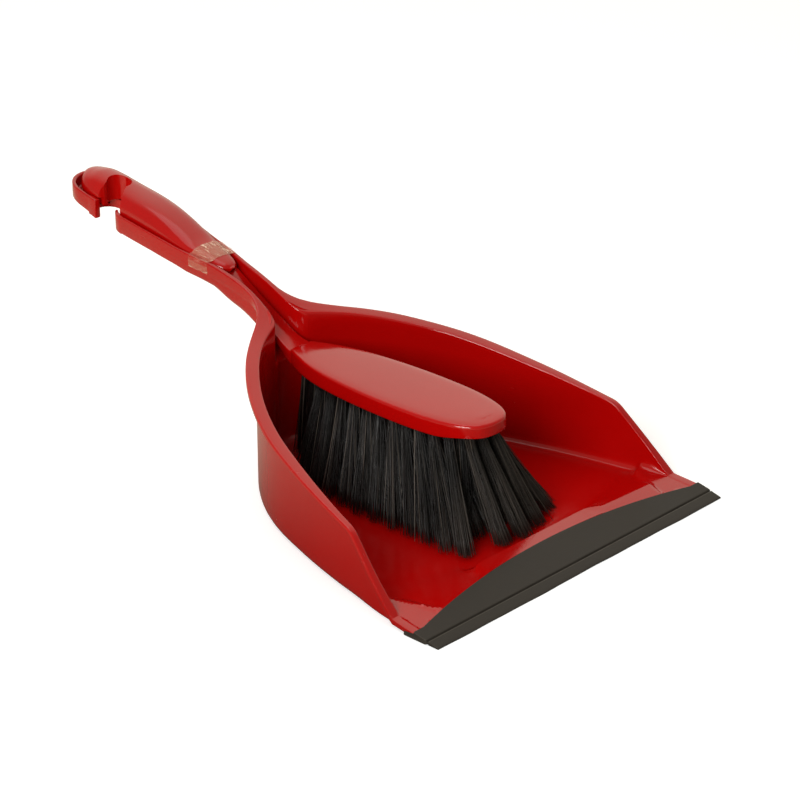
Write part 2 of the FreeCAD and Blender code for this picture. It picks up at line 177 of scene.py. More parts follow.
def solid(name, verts_mm, faces, merge=0.004):
    """Mesh object welded at a distance in mm (0 for none), with its normals facing out."""
    ob = add_object(name, verts_mm, faces)
    bm = bmesh.new()
    bm.from_mesh(ob.data)
    if merge:
        bmesh.ops.remove_doubles(bm, verts=bm.verts, dist=merge * 0.001)
        bmesh.ops.dissolve_degenerate(bm, edges=bm.edges, dist=merge * 0.0005)
    bmesh.ops.recalc_face_normals(bm, faces=bm.faces)
    bm.to_mesh(ob.data)
    bm.free()
    ob.data.update()
    return ob


def loft(name, sections, merge=0.004):
    bag = Bag()
    bag.tube(sections)
    return solid(name, bag.verts, bag.faces, merge)


def apply_modifiers(ob):
    graph = bpy.context.evaluated_depsgraph_get()
    graph.update()
    me = bpy.data.meshes.new_from_object(ob.evaluated_get(graph), preserve_all_data_layers=True,
                                         depsgraph=graph)
    ob.modifiers.clear()
    old = ob.data
    ob.data = me
    bpy.data.meshes.remove(old)


def boolean(ob, tool, operation):
    """Join the tool to the object or cut it away, and remove the tool."""
    m = ob.modifiers.new("bool", "BOOLEAN")
    m.operation = operation
    m.solver = "EXACT"
    m.object = tool
    bpy.context.view_layer.update()
    apply_modifiers(ob)
    bpy.data.objects.remove(tool)


def prism(name, outline, bottom, top, bevel=0.0, segments=2):
    """Upright prism over a plan outline; bottom and top are heights or functions of y."""
    n = len(outline)
    verts = []
    for level in (bottom, top):
        verts += [(x, y, float(level(y) if callable(level) else level)) for x, y in outline]
    faces = [list(range(n))[::-1], list(range(n, 2 * n))]
    faces += [[i, (i + 1) % n, n + (i + 1) % n, n + i] for i in range(n)]
    ob = solid(name, verts, faces, merge=0)
    if bevel:
        m = ob.modifiers.new("b", "BEVEL")
        m.width = bevel * 0.001
        m.segments = segments
        m.limit_method = "ANGLE"
        m.angle_limit = math.radians(40)
        apply_modifiers(ob)
    return ob


def circle(cx, cy, r, n):
    return [(cx + r * math.cos(2 * math.pi * i / n), cy + r * math.sin(2 * math.pi * i / n))
            for i in range(n)]


def sharp_by_angle(ob, degrees):
    """Smooth shading, split only where the surface turns by more than the angle."""
    for face in ob.data.polygons:
        face.use_smooth = True
    bm = bmesh.new()
    bm.from_mesh(ob.data)
    limit = math.radians(degrees)
    for e in bm.edges:
        e.smooth = not (len(e.link_faces) == 2 and e.calc_face_angle(0.0) > limit)
    bm.to_mesh(ob.data)
    bm.free()


# ------------------------------------------------------------------ pan: heights along y
RIM_T = 2.0                                   # thickness of the flange's top
WALL_T = 2.0
FLOOR_Z = 2.2
SLOPE_FOOT, SLOPE_TOP = (34.0, 6.8), (66.5, 38.4)   # (y, z) ends of the wall's sloping front edge
SLOPE_CORNER = 3.2                            # half length of the rounding at SLOPE_TOP
BED_Y = 9.7                                   # front of the bed under the rubber
# (y, z) of the rim behind the slope
back_rim = pchip_rows(
    (66.5, 38.4), (85, 42.8), (100, 46.4), (120, 51.1), (140, 56.0), (160, 61.3), (175, 65.1),
    (190, 69.2), (200, 71.8), (208, 74.0), (215, 76.8), (223, 80.9), (232, 85.6), (238, 88.3),
    (245, 90.8), (255, 93.5), (265, 96.1), (280, 99.9), (290, 102.3), (300, 104.6),
    (310, 106.5), (330, 109.7), (350, 112.8), (370, 115.8), (390, 118.8))
# (y, z) of the handle's underside
under_z = pchip_rows(
    (205, 47.0), (214, 52.0), (223, 60.2), (232, 66.5), (241, 71.2), (252, 75.2), (264, 81.4),
    (272, 84.5), (280, 86.3), (290, 89.2), (300, 91.4), (310, 93.7), (330, 96.8), (350, 100.4),
    (360, 103.2), (370, 106.4), (380, 108.6), (390, 110.4))
# (y, depth) of the flange hanging outside the wall
flange_drop = pchip_rows(
    (10, 2.6), (40, 2.8), (205, 3.2), (222, 5.0), (234, 6.8), (258, 7.4), (270, 9.0),
    (284, 9.9), (350, 10.0), (366, 9.0), (390, 9.0))
# (y, depth) of the pan's rim below the line the brush follows
rim_sink = pchip_rows(
    (200, 0.0), (260, 0.0), (277, 1.3), (290, 2.1), (312, 2.3), (336, 2.4), (352, 1.7),
    (362, 0.9), (372, 0.3), (390, 0.2))


def bed_z(y):
    """The slanting bed the rubber lip lies on."""
    return 1.72 + (np.asarray(y, float) - BED_Y) * 0.2192


def plate_z(y):
    """The plates beside the walls at the front."""
    return 3.3 + (np.asarray(y, float) - 18.0) * 0.09


def grip_line(y):
    """The rim's line, which the brush's grip follows too."""
    y = np.asarray(y, float)
    (y_foot, z_foot), (y_top, z_top) = SLOPE_FOOT, SLOPE_TOP
    slope = z_foot + (y - y_foot) * (z_top - z_foot) / (y_top - y_foot)
    z = np.where(y < y_top, slope, back_rim(y))
    r = SLOPE_CORNER
    t = (y - (y_top - r)) / (2 * r)
    z_before = z_top - r * (z_top - z_foot) / (y_top - y_foot)
    z_after = back_rim(np.array(y_top + r))
    rounding = (1 - t) ** 2 * z_before + 2 * t * (1 - t) * z_top + t * t * z_after
    z = np.where((t > 0) & (t < 1), rounding, z)
    # the low front end
    step = lerp(bed_z(16.0) + 0.05, plate_z(y) + 0.02, sstep((y - 16.0) / 2.0))
    low = np.where(y < 16.0, bed_z(y) + 0.05, step)
    return np.where(y < y_foot + 1.0, np.maximum(low, z), z)


def rim_z(y):
    return grip_line(y) - rim_sink(y)


def base_z(y):
    """The pan's underside, raised at the front to take the lip's lower leg."""
    return float(np.interp(y, [14.9, 15.3], [0.95, 0.0]))


# ------------------------------------------------------------------ pan: wall lines in plan
# x, y of the wall's inner face and x, y of the matching point on the flange's outer edge
WALL = np.array([
    (106.1, 9.7, 111.0, 9.7), (105.8, 16.0, 110.85, 16.0), (105.4, 22.0, 110.5, 22.0),
    (104.45, 34.0, 109.5, 34.0), (102.95, 48.0, 107.5, 48.1), (100.7, 60.0, 104.9, 60.4),
    (98.9, 68.5, 103.1, 69.2), (97.1, 77.0, 101.5, 78.0), (93.9, 90.0, 99.0, 91.3),
    (89.8, 105.0, 95.7, 106.8), (85.1, 120.0, 91.6, 122.1), (78.1, 140.0, 84.9, 142.9),
    (68.2, 160.0, 74.4, 163.7), (58.0, 175.0, 63.8, 179.6), (44.8, 190.0, 50.0, 195.2),
    (34.0, 199.6, 38.5, 205.3), (24.5, 206.0, 28.3, 212.6), (17.3, 209.6, 20.9, 217.6),
    (12.9, 211.6, 16.4, 221.3), (10.4, 213.5, 13.6, 224.4), (8.8, 216.0, 11.6, 227.5),
    (7.7, 219.6, 10.2, 230.8), (7.05, 224.4, 9.6, 234.0), (6.6, 231.0, 9.3, 238.2),
    (6.4, 239.0, 9.3, 243.2), (6.4, 247.0, 9.6, 249.4), (6.9, 255.0, 10.0, 256.2),
    (8.2, 264.0, 10.9, 264.5), (9.6, 272.0, 11.9, 272.2), (11.0, 282.0, 13.2, 282.1),
    (12.1, 292.0, 14.3, 292.0), (13.1, 302.0, 15.3, 302.0), (13.8, 314.0, 16.0, 314.0),
    (14.0, 330.0, 16.2, 330.0), (14.0, 348.0, 16.2, 348.0), (14.0, 365.5, 16.2, 365.5)], float)
WALL_S = arc_lengths(WALL)                    # s is the distance along the inner face
wall_at = natural(WALL_S, WALL)
CORNER = 18                                   # row where the handle's channel leaves the basin
CORNER_X, CORNER_Y = WALL[CORNER, :2]
CORNER_S, END_S = WALL_S[CORNER], WALL_S[-1]
BASIN_X, BASIN_Y, BASIN_S = WALL[:CORNER + 1, 0], WALL[:CORNER + 1, 1], WALL_S[:CORNER + 1]


def y_to_s(y):
    return float(np.interp(y, BASIN_Y, BASIN_S))


def wall_inner_x(y):
    return float(np.interp(y, WALL[:, 1], WALL[:, 0]))


# ------------------------------------------------------------------ pan: front floor
# Feature lines cross the floor; q counts them from 0 at the bed's front.
def lip_rear(x):
    return 29.4 - 13.0 * np.clip(np.abs(x) / 104.0, 0, 1) ** 2


def bed_end(x):
    return lip_rear(x) + 0.15


def sill_rear(x):
    return np.interp(np.abs(x), [0, 40.5, 43, 47, 50, 64, 92, 106],
                     [37.6, 37.6, 37.0, 34.0, 32.6, 31.8, 31.0, 27.6])


def ramp_foot(x):
    return np.interp(np.abs(x), [0, 40.5, 46, 98, 110], [40.8, 40.8, 42.0, 53.5, 54.5])


def feature_lines(x):
    x = np.asarray(x, float)
    return np.array([BED_Y + 0 * x, bed_end(x), sill_rear(x), ramp_foot(x), 72.0 + 0 * x])


def plate_edge(y):
    """Distance from the centre line to the inner edge of the plates beside the walls."""
    return np.interp(y, [20, 24, 32, 40.5, 48, 52], [86, 86, 89, 89.5, 94.6, 99])


def floor_height(q, x, y):
    """Height of the moulded front floor for a point on line q."""
    sill_z, sill_slope = 6.4, 0.15
    side = sstep((np.abs(x) - 42.0) / 6.0)
    edge_z = bed_z(bed_end(x)) + 0.5
    front = lerp(sill_z, edge_z + np.maximum(0.0, y - bed_end(x)) * sill_slope, side)
    crest = lerp(sill_z, edge_z + (sill_rear(x) - bed_end(x)) * sill_slope, side)
    bed = bed_z(y)
    t = np.clip(q - 2.0, 0, 1)
    # the ramp, with its crest eased down and a slight swell along its foot
    ramp = lerp(crest, FLOOR_Z, t)
    ramp = ramp - 0.30 * np.exp(-(t / 0.10) ** 2)
    ramp = ramp + 0.22 * np.exp(-((t - 1.0) / 0.12) ** 2)
    z = np.where(q < 3.0, ramp, FLOOR_Z + 0.22 * np.exp(-((q - 3.0) / 0.05) ** 2))
    eased = front - 0.30 * np.exp(-((q - 2.0) / 0.08) ** 2)
    z = np.where(q < 2.0, np.maximum(eased, np.minimum(bed, front)), z)
    z = np.where(q < 1.0, bed, z)
    plate = lerp(plate_z(y), FLOOR_Z, sstep((y - 47.0) / 5.5))
    return lerp(z, plate, sstep((np.abs(x) - plate_edge(y) + 0.5) / 3.4) * (q >= 1.0))


def flatten_left(me):
    """Left (-X) of the raised sill the floor simply runs up to the rubber."""
    co = np.empty(len(me.vertices) * 3)
    me.vertices.foreach_get("co", co)
    co = co.reshape(-1, 3)
    x, y, z = co[:, 0] * 1000.0, co[:, 1] * 1000.0 - Y0, co[:, 2] * 1000.0
    lines = feature_lines(x)
    q = np.full(len(x), -1.0)
    for i in range(4):
        inside = (y >= lines[i]) & (y <= lines[i + 1])
        q = np.where(inside, i + (y - lines[i]) / np.maximum(lines[i + 1] - lines[i], 1e-6), q)
    on_floor = np.abs(z - floor_height(q, x, y)) < 0.25
    t = np.clip((y - bed_end(x)) / np.maximum(ramp_foot(x) + 6.0 - bed_end(x), 1.0), 0, 1)
    plain = lerp(bed_z(bed_end(x)) + 0.45, FLOOR_Z, t ** 0.9)
    off_plate = 1 - sstep((np.abs(x) - plate_edge(y) + 1.5) / 3.4)
    k = sstep((-x - 41.5) / 8.0) * off_plate * (q > 1.0) * (q < 3.35) * on_floor
    co[:, 2] = np.where(k > 0, lerp(z, plain, k), z) * 0.001
    me.vertices.foreach_set("co", co.ravel())
    me.update()


# ------------------------------------------------------------------ pan: sections
# Mesh rows up the wall, in the order a section is walked
FILLET_ROWS, LOWER_ROWS, UPPER_ROWS = 5, 6, 5             # inside
OUT_UPPER_ROWS, OUT_LOWER_ROWS, OUT_BEND_ROWS = 4, 5, 5   # outside
CHANNEL_ARC_COLS, CHANNEL_FLAT_COLS = 6, 5                # across the channel, wall to centre
FOOT_R, BASE_R = 5.0, 4.2                     # wall to floor, inside and outside
CHANNEL_FOOT_R = 2.0                          # wall to floor in the channel
CHANNEL_LIP_R = 1.3                           # rounding where the basin's wall meets the channel
CHANNEL_T = 2.0                               # floor thickness of the channel
KEEL_R = 2.2                                  # underside edge radius where the channel starts
CENTRE_Y = 186.0                              # the floor's fan gathers here behind the basin
# Columns of the floor, as fractions of the way from the centre line to the wall's foot
FLOOR_COLS = np.array(sorted(set(np.round(np.concatenate([
    np.linspace(0, 0.36, 9), [0.388, 0.413, 0.446, 0.472], np.linspace(0.50, 0.78, 8),
    np.linspace(0.80, 1.0, 17)]), 4))))
# Rows of the front floor, as values of q
FLOOR_ROWS = [
    0, 0.4, 0.8, 0.97, 1.0, 1.04, 1.3, 1.6, 1.82, 1.92, 1.97, 2.0, 2.03, 2.08, 2.15, 2.23, 2.31,
    2.4, 2.5, 2.58, 2.66, 2.72, 2.78, 2.83, 2.88, 2.92, 2.96, 3.0, 3.03, 3.08, 3.2, 3.35, 3.5,
    3.65, 3.8, 4.0]
# y of the extra stations round the rim's corner
CORNER_ROWS_Y = (60.5, 62.0, 63.3, 64.4, 65.5, 66.5, 67.6, 68.8, 70.2)
STATION_STEP = 3.6


def quarter(rows):
    """Angles of a quarter turn in equal steps, without the start."""
    return [math.radians(90.0 * i / rows) for i in range(1, rows + 1)]


class Wall:
    """The wall at one station: a point on its inner face and the way out to the flange."""

    def __init__(self, s, row, turning=False):
        self.s, self.turning = s, turning     # turning: on the round end of the channel
        self.x, self.y, flange_x, flange_y = row
        out = np.array([flange_x - self.x, flange_y - self.y])
        self.width = float(np.hypot(*out))
        self.out = out / self.width
        self.neck = float(sstep((s - (CORNER_S - 12.0)) / 26.0))
        grip = float(sstep((self.y - 256.0) / 18.0))
        self.skin = lerp(lerp(1.4, 0.95, self.neck), 0.32, grip)     # flange thickness
        self.thick = min(WALL_T, self.width - self.skin - 0.08)

    def at(self, off, z):
        return (self.x + self.out[0] * off, self.y + self.out[1] * off, z)

    def rim(self, off):
        return float(rim_z(self.y + self.out[1] * off))

    def over_rim(self, z_low, drop_limit):
        """Up the inner face from z_low, over the rim, round the flange, to the outer face."""
        w, skin, thick = self.width, self.skin, self.thick
        z_rim, z_flange = self.rim(0.0), self.rim(w)
        room = 0.35 * max(z_rim - z_low, 0.05)
        r_in = min(0.9, room)
        r_out = min(1.0, w * 0.3, room + 0.02)
        run = [self.at(0.0, lerp(z_low, z_rim - r_in, i / UPPER_ROWS))
               for i in range(UPPER_ROWS + 1)]
        for a in map(math.radians, (30, 60, 90)):
            off = r_in * (1 - math.cos(a))
            run.append(self.at(off, self.rim(off) - r_in + r_in * math.sin(a)))
        for t in (0.33, 0.66):
            off = lerp(r_in, w - r_out, t)
            run.append(self.at(off, self.rim(off)))
        for a in map(math.radians, (90, 60, 30, 0)):
            off = w - r_out + r_out * math.cos(a)
            run.append(self.at(off, self.rim(off) - r_out + r_out * math.sin(a)))
        # the flange is deeper along the sloping front edge
        on_slope = float(sstep((self.y - 30) / 6.0)) * (1 - float(sstep((self.y - 64) / 5.0)))
        steep = 1.0 + 0.40 * on_slope
        drop = min(float(flange_drop(self.y)) * steep, drop_limit)
        edge = min(0.3, drop * 0.3)
        z_edge = z_flange - drop
        top_t = lerp(min(RIM_T * (1 + 0.3 * (steep - 1)), drop * 0.75), max(drop - 0.45, 0.1),
                     self.neck)
        z_in = max(self.rim(w - skin) - top_t, z_edge + 0.12)
        mid = lerp(w - skin, thick, 0.5)
        run += [self.at(off, z) for off, z in (
            (w, lerp(z_flange - r_out, z_edge + 0.3, 0.5)),
            (w, z_edge + edge),
            (w - edge * 0.3, z_edge + edge * 0.3),
            (w - min(edge, skin * 0.5), z_edge),
            (w - skin + 0.02, z_edge + 0.02),
            (w - skin, lerp(z_edge, z_in, 0.5)),
            (w - skin, z_in),
            (mid, max(self.rim(mid) - top_t, z_edge + 0.10)),
            (thick, max(self.rim(thick) - top_t, z_edge + 0.08)))]
        return run


def channel_floor(s, y):
    z = float(under_z(y)) + CHANNEL_T
    if s - CORNER_S < CHANNEL_LIP_R:
        r = CHANNEL_LIP_R
        c = 1 - (s - CORNER_S) / r
        z -= r - math.sqrt(max(0.0, r ** 2 - (r * c) ** 2))
    return z


def basin_stations():
    """(s, q) of every section along the basin's wall; q is above 4 behind the front floor."""
    known = []
    for q in FLOOR_ROWS:
        x = 104.0
        for _ in range(12):                   # settle where the line meets the wall
            y = np.interp(q, range(5), feature_lines(x))
            x = np.interp(y, BASIN_Y, BASIN_X)
        known.append((y_to_s(y), q))
    known_s = [s for s, _ in known]
    corner = [y_to_s(y) for y in CORNER_ROWS_Y]
    rest = list(np.arange(known_s[-1] + STATION_STEP, CORNER_S - 1.0, STATION_STEP))
    known.sort()
    lookup_s, lookup_q = zip(*known)
    last = lookup_s[-1]
    out = []
    for s in sorted(set(round(v, 3) for v in known_s + corner + rest + [CORNER_S])):
        front = s <= last + 1e-6
        out.append((s, float(np.interp(s, lookup_s, lookup_q)) if front else 4.0 + (s - last)))
    return out


def floor_line(x_edge, y_edge, q, behind, height):
    """Floor points from the centre line out to the wall's foot."""
    points = []
    for f in FLOOR_COLS:
        x = f * x_edge
        if q <= 4.0:
            y = float(np.interp(q, range(5), feature_lines(x)))
            y = lerp(y, y_edge, sstep((f - 0.9) / 0.1))
        else:
            y = lerp(CENTRE_Y if behind else y_edge, y_edge, f)
        points.append((x, y, height(x, y)))
    return points


def basin_section(s, q):
    """Floor, wall, flange, outer wall and underside of one half section of the basin.

    Also returns the numbers of the points where the channel's patch attaches at the corner."""
    wall = Wall(s, wall_at(np.array(s)))
    near_corner = float(sstep((s - (CORNER_S - 30.0)) / 30.0))
    behind = wall.y >= CENTRE_Y

    def height(x, y):
        return float(floor_height(q, x, y)) if q <= 4.0 else FLOOR_Z

    z_foot = height(wall.x, wall.y)
    z_rim = wall.rim(0.0)
    r = min(FOOT_R, 0.55 * max(z_rim - z_foot, 0.02))
    points = floor_line(wall.x - wall.out[0] * r, wall.y - wall.out[1] * r, q, behind, height)
    points += [wall.at(-r + r * math.sin(a), z_foot + r * (1 - math.cos(a)))
               for a in quarter(FILLET_ROWS)]
    z_low = z_foot + r
    r_rim = min(0.9, 0.35 * max(z_rim - z_low, 0.05))
    z_channel = channel_floor(CORNER_S, CORNER_Y) + CHANNEL_FOOT_R
    z_split = lerp(lerp(z_low, z_rim - r_rim, 0.66), z_channel, near_corner)
    points += [wall.at(0.0, lerp(z_low, z_split, i / LOWER_ROWS))
               for i in range(1, LOWER_ROWS + 1)]
    split_in = len(points) - 1
    points += wall.over_rim(z_split, 0.72 * max(wall.rim(wall.width), 0.3))[1:]

    thick, z_top, z_base = wall.thick, points[-1][2], base_z(wall.y)
    r = min(BASE_R, 0.5 * max(z_top - z_base, 0.05))
    r = min(r, lerp(1.4, BASE_R, float(sstep((wall.y - 30) / 40.0))))
    z_split = lerp(lerp(z_base + r, z_top, 0.5), float(under_z(CORNER_Y)) + KEEL_R, near_corner)
    points += [wall.at(thick, lerp(z_top, z_split, i / OUT_UPPER_ROWS))
               for i in range(1, OUT_UPPER_ROWS + 1)]
    split_out = len(points) - 1
    points += [wall.at(thick, lerp(z_split, z_base + r, i / OUT_LOWER_ROWS))
               for i in range(1, OUT_LOWER_ROWS + 1)]
    points += [wall.at(thick - r + r * math.cos(a), z_base + r - r * math.sin(a))
               for a in quarter(OUT_BEND_ROWS)]
    x_out, y_out, _ = wall.at(thick - r, 0.0)
    points += floor_line(x_out, y_out, q, behind, lambda x, y: base_z(y))[::-1][1:]
    return points, split_in, split_out


def channel_walls():
    """Stations along the channel's side, then a quarter turn round its end."""
    lip = [CORNER_S + CHANNEL_LIP_R * (1 - math.cos(math.radians(a))) for a in (0, 30, 60, 90)]
    near = list(np.arange(CORNER_S + 2.6, CORNER_S + 24, 1.5))
    far = list(np.arange(CORNER_S + 24.5, END_S - 1.0, 3.2))
    walls = [Wall(s, wall_at(np.array(s))) for s in lip + near + far + [END_S]]
    r_in, end_y, r_out, _ = WALL[-1]
    for degrees in np.linspace(0, 90, 13)[1:]:
        a = math.radians(degrees)
        c, sn = math.cos(a), math.sin(a)
        row = (r_in * c, end_y + r_in * sn, r_out * c, end_y + r_out * sn)
        walls.append(Wall(END_S + r_in * a, row, turning=True))
    return walls


def keel_radius(wall, room):
    """Under the channel: nearly a half round at the neck, a plain edge along the grip."""
    r = lerp(KEEL_R, 5.8, float(sstep((wall.s - CORNER_S) / 16.0)))
    r = lerp(r, 1.6, float(sstep((wall.y - 262.0) / 22.0)))
    return max(0.4, min(r, 0.8 * room))


def across(start, x, y, r, level, wall):
    """From the start point round a quarter bend of radius r, then flat to the centre."""
    way = wall.out if wall.turning else np.array([1.0, 0.0])
    z = level(wall.y)
    row = [tuple(start)]
    for a in quarter(CHANNEL_ARC_COLS):
        off = -r + r * math.cos(a)
        row.append((x + way[0] * off, y + way[1] * off, z + r * (1 - math.sin(a))))
    x_flat, y_flat = x - way[0] * r, y - way[1] * r
    y_centre = WALL[-1, 1] if wall.turning else y_flat
    for i in range(1, CHANNEL_FLAT_COLS + 1):
        t = i / CHANNEL_FLAT_COLS
        x_now, y_now = x_flat * (1 - t), lerp(y_flat, y_centre, t)
        # at first the rows go on with the basin's curve instead of running straight
        fade = max(0.0, 1.0 - (wall.s - CORNER_S) / 14.0)
        bulge = 0.18 * CORNER_X * max(0.0, 1.0 - (x_now / CORNER_X) ** 2) * fade
        row.append((x_now, y_now + bulge, level(y_now if wall.turning else wall.y)))
    return row


def channel_patches(corner_run):
    """Rim, floor and underside rows; the first rim row is the basin's own corner run."""
    sides, floors, unders = [], [], []
    for wall in channel_walls():
        if not sides:
            side, r = corner_run, KEEL_R
        else:
            z_under = float(under_z(wall.y))
            z_low = channel_floor(wall.s, wall.y) + CHANNEL_FOOT_R
            side = wall.over_rim(z_low, wall.rim(wall.width) - z_under - 0.5)
            z_top = side[-1][2]
            r = keel_radius(wall, z_top - z_under)
            side += [wall.at(wall.thick, lerp(z_top, z_under + r, i / OUT_UPPER_ROWS))
                     for i in range(1, OUT_UPPER_ROWS + 1)]
        sides.append(side)
        floors.append(across(side[0], wall.x, wall.y, CHANNEL_FOOT_R,
                             lambda y: channel_floor(wall.s, y), wall))
        unders.append(across(side[-1], side[-1][0], side[-1][1], r,
                             lambda y: float(under_z(y)), wall))
    return sides, floors, unders


def back_normal(x):
    """Outward direction in plan of the basin's wall under the handle."""
    n = np.array([0.36 * x / CORNER_X, 1.0])
    return n / np.hypot(*n)


def back_inside(x, y, z):
    """Floor and wall inside, up to a point on the channel's front edge."""
    n, r = back_normal(x), FOOT_R
    x_foot, y_foot = max(x - n[0] * r, 0.0), y - n[1] * r
    points = [(x_foot * f, lerp(CENTRE_Y, y_foot, f), FLOOR_Z) for f in FLOOR_COLS]
    for a in quarter(FILLET_ROWS):
        off = -r + r * math.sin(a)
        points.append((max(x + n[0] * off, 0.0), y + n[1] * off,
                       FLOOR_Z + r * (1 - math.cos(a))))
    return points + [(x, y, lerp(FLOOR_Z + r, z, i / LOWER_ROWS))
                     for i in range(1, LOWER_ROWS + 1)]


def back_outside(x, y, z):
    """Wall and underside outside, down from a point on the channel's underside."""
    n, r = back_normal(x), BASE_R
    points = [(x, y, z)]
    points += [(x, y, lerp(z, r, i / OUT_LOWER_ROWS)) for i in range(1, OUT_LOWER_ROWS + 1)]
    for a in quarter(OUT_BEND_ROWS):
        off = -r + r * math.cos(a)
        points.append((max(x + n[0] * off, 0.0), y + n[1] * off, r - r * math.sin(a)))
    x_foot, y_foot, _ = points[-1]
    return points + [(f * x_foot, lerp(CENTRE_Y, y_foot, f), 0.0)
                     for f in FLOOR_COLS[::-1][1:]]


def build_pan():
    bag = Bag()
    basin = []
    for s, q in basin_stations():
        section, split_in, split_out = basin_section(s, q)
        basin.append(section)
    corner = basin[-1]
    g = bag.add(basin)
    bag.grid(g)
    bag.faces.append(g[0].tolist()[::-1])     # front cap, inside the rubber

    sides, floors, unders = channel_patches(corner[split_in:split_out + 1])
    g_side, g_floor, g_under = bag.add(sides), bag.add(floors), bag.add(unders)
    bag.grid(g_side)
    bag.grid(g_floor[:, ::-1])
    bag.grid(g_under)

    inside = [corner[:split_in + 1]] + [back_inside(*p) for p in floors[0][1:]]
    outside = [corner[split_out:]] + [back_outside(*p) for p in unders[0][1:]]
    g_inside, g_outside = bag.add(inside), bag.add(outside)
    bag.grid(g_inside)
    bag.grid(g_outside)

    verts = np.array(bag.verts)
    verts[np.abs(verts[:, 0]) < 0.004, 0] = 0.0
    n = len(verts)
    faces = bag.faces + [[i + n for i in face][::-1] for face in bag.faces]
    return solid("pan_moulding", np.vstack([verts, verts * (-1, 1, 1)]), faces)


# ------------------------------------------------------------------ pan: hanging hook
HOOK_X, HOOK_Y = -2.2, 346.6
PAN_HOLE_R, COLLAR_R, GRIP_HOLE_R = 7.6, 10.6, 7.2
CUT_LOW, CUT_HIGH = 80.0, 140.0               # z range of cutters that pass right through
# Plan outlines, x and y
SIDE_GAP = [(-30, 331.0), (-12.2, 331.0), (-12.2, 337.4), (-3, 337.4), (-3, 357.6), (-30, 357.6)]
BAY = [(-9.8, 340.2), (4.0, 341.0), (4.0, 346.0), (3.3, 350.0), (2.7, 352.9), (1.4, 355.3),
       (-0.9, 357.2), (-4.0, 358.5), (-6.9, 358.9), (-9.8, 358.7)]
FRONT_CURL = [
    (-16.2, 330.7), (-16.08, 332.6), (-15.75, 334.3), (-15.2, 335.9), (-14.4, 337.2),
    (-13.4, 338.2), (-12.2, 338.7), (-11.7, 338.3), (-11.8, 337.4), (-12.5, 336.6),
    (-13.15, 335.4), (-13.6, 334.0), (-13.9, 332.4), (-14.0, 330.7)]
BACK_POST = [(-16.2, 358.2), (-16.2, 352.2), (-12.3, 352.2), (-12.3, 355.6), (-13.9, 358.2)]


def cut_hook(pan):
    """Hole with its collar, the gap in the -X side, and the wall's ends either side of it."""
    def below_rim(y):
        return rim_z(y) - 0.02

    boolean(pan, prism("collar", circle(HOOK_X, HOOK_Y, COLLAR_R, 56),
                       lambda y: under_z(y) + 1.0, lambda y: under_z(y) + 5.2, bevel=0.5), "UNION")
    for name, outline in (("hole", circle(HOOK_X, HOOK_Y, PAN_HOLE_R, 64)),
                          ("gap", SIDE_GAP), ("bay", BAY)):
        boolean(pan, prism(name, outline, CUT_LOW, CUT_HIGH), "DIFFERENCE")
    boolean(pan, prism("curl", FRONT_CURL, lambda y: under_z(y) + 0.05, below_rim,
                       bevel=0.35), "UNION")
    boolean(pan, prism("post", BACK_POST, lambda y: under_z(y) - 0.5, below_rim,
                       bevel=0.6, segments=3), "UNION")


pan = build_pan()
flatten_left(pan.data)
cut_hook(pan)
sharp_by_angle(pan, 34)


# ------------------------------------------------------------------ brush block
# Plan of the head: y, half width
HEAD = np.array([
    (62.6, 0.0), (63.0, 4.6), (64.7, 9.4), (68.2, 13.4), (74.0, 16.8), (82, 19.4), (94, 21.6),
    (108, 22.6), (124, 22.8), (140, 22.3), (158, 20.9), (173, 18.8), (184, 16.2), (193, 13.2),
    (200, 10.2), (205, 7.8)])
HEAD_TOP, HEAD_T = 63.6, 10.8
FACE_Z = HEAD_TOP - HEAD_T                    # the face the bristles come out of
HEAD_EDGE_R = 1.9
# Neck: y, half width, top z, bottom z
NECK = np.array([
    (197, 8.6, 60.5, 53.6), (206, 8.0, 61.6, 54.4), (212, 7.0, 63.6, 58.2),
    (222, 6.2, 69.3, 65.2), (235, 5.9, 76.6, 72.8), (248, 6.0, 84.0, 80.0),
    (262, 6.1, 91.5, 87.2), (274, 6.1, 96.8, 92.4)])
# Grip: y, half width, crown above the grip line, depth below it
GRIP = np.array([
    (257.6, 2.6, -0.9, 2.6), (259.0, 4.8, -0.1, 3.4), (262.0, 6.6, 0.5, 4.0),
    (267.0, 7.9, 0.9, 4.6), (275.0, 9.6, 1.2, 5.6), (281.0, 10.6, 1.4, 6.4),
    (290.0, 11.5, 3.3, 6.6), (300.0, 12.2, 5.5, 7.0), (311.0, 12.8, 7.3, 7.4),
    (322.0, 13.1, 8.2, 7.0), (335.0, 13.2, 8.6, 6.4), (352.0, 13.2, 9.0, 5.8),
    (361.0, 12.8, 8.7, 5.5), (367.5, 11.4, 7.4, 5.2), (372.0, 8.9, 6.2, 4.8),
    (374.8, 6.0, 4.6, 3.6), (376.2, 3.2, 2.8, 2.0)])
CROWN_ROOT = 3.2                              # the crown's arch springs this far below the line
CROWN_POWER = 2.75                            # superellipse power of the arch near the neck
# How the grip's ends close: scale of the end section, distance beyond it
GRIP_FRONT_TIP = [(0.32, 1.15), (0.66, 0.9), (0.88, 0.5)]
GRIP_BACK_TIP = [(0.9, 0.35), (0.68, 0.62), (0.36, 0.8)]
# Plan outlines cut from the grip's -X side: the opening to the hole, and a notch
# in the grip's underside that clears the pan's post
GRIP_MOUTH = [(-40, 334.4), (-13.6, 334.4), (-10.0, 335.6), (-6.6, 337.6), (-3.2, 339.5),
              (-3.2, 353.2), (-7.2, 352.0), (-9.4, 351.5), (-12.2, 352.6), (-15.6, 355.2),
              (-40, 355.2)]
GRIP_NOTCH = [(-40, 346.0), (-10.2, 346.0), (-10.2, 356.6), (-13.0, 358.8), (-40, 358.8)]
CLOSING_COLS = 6                              # columns from the head's outline to its centre


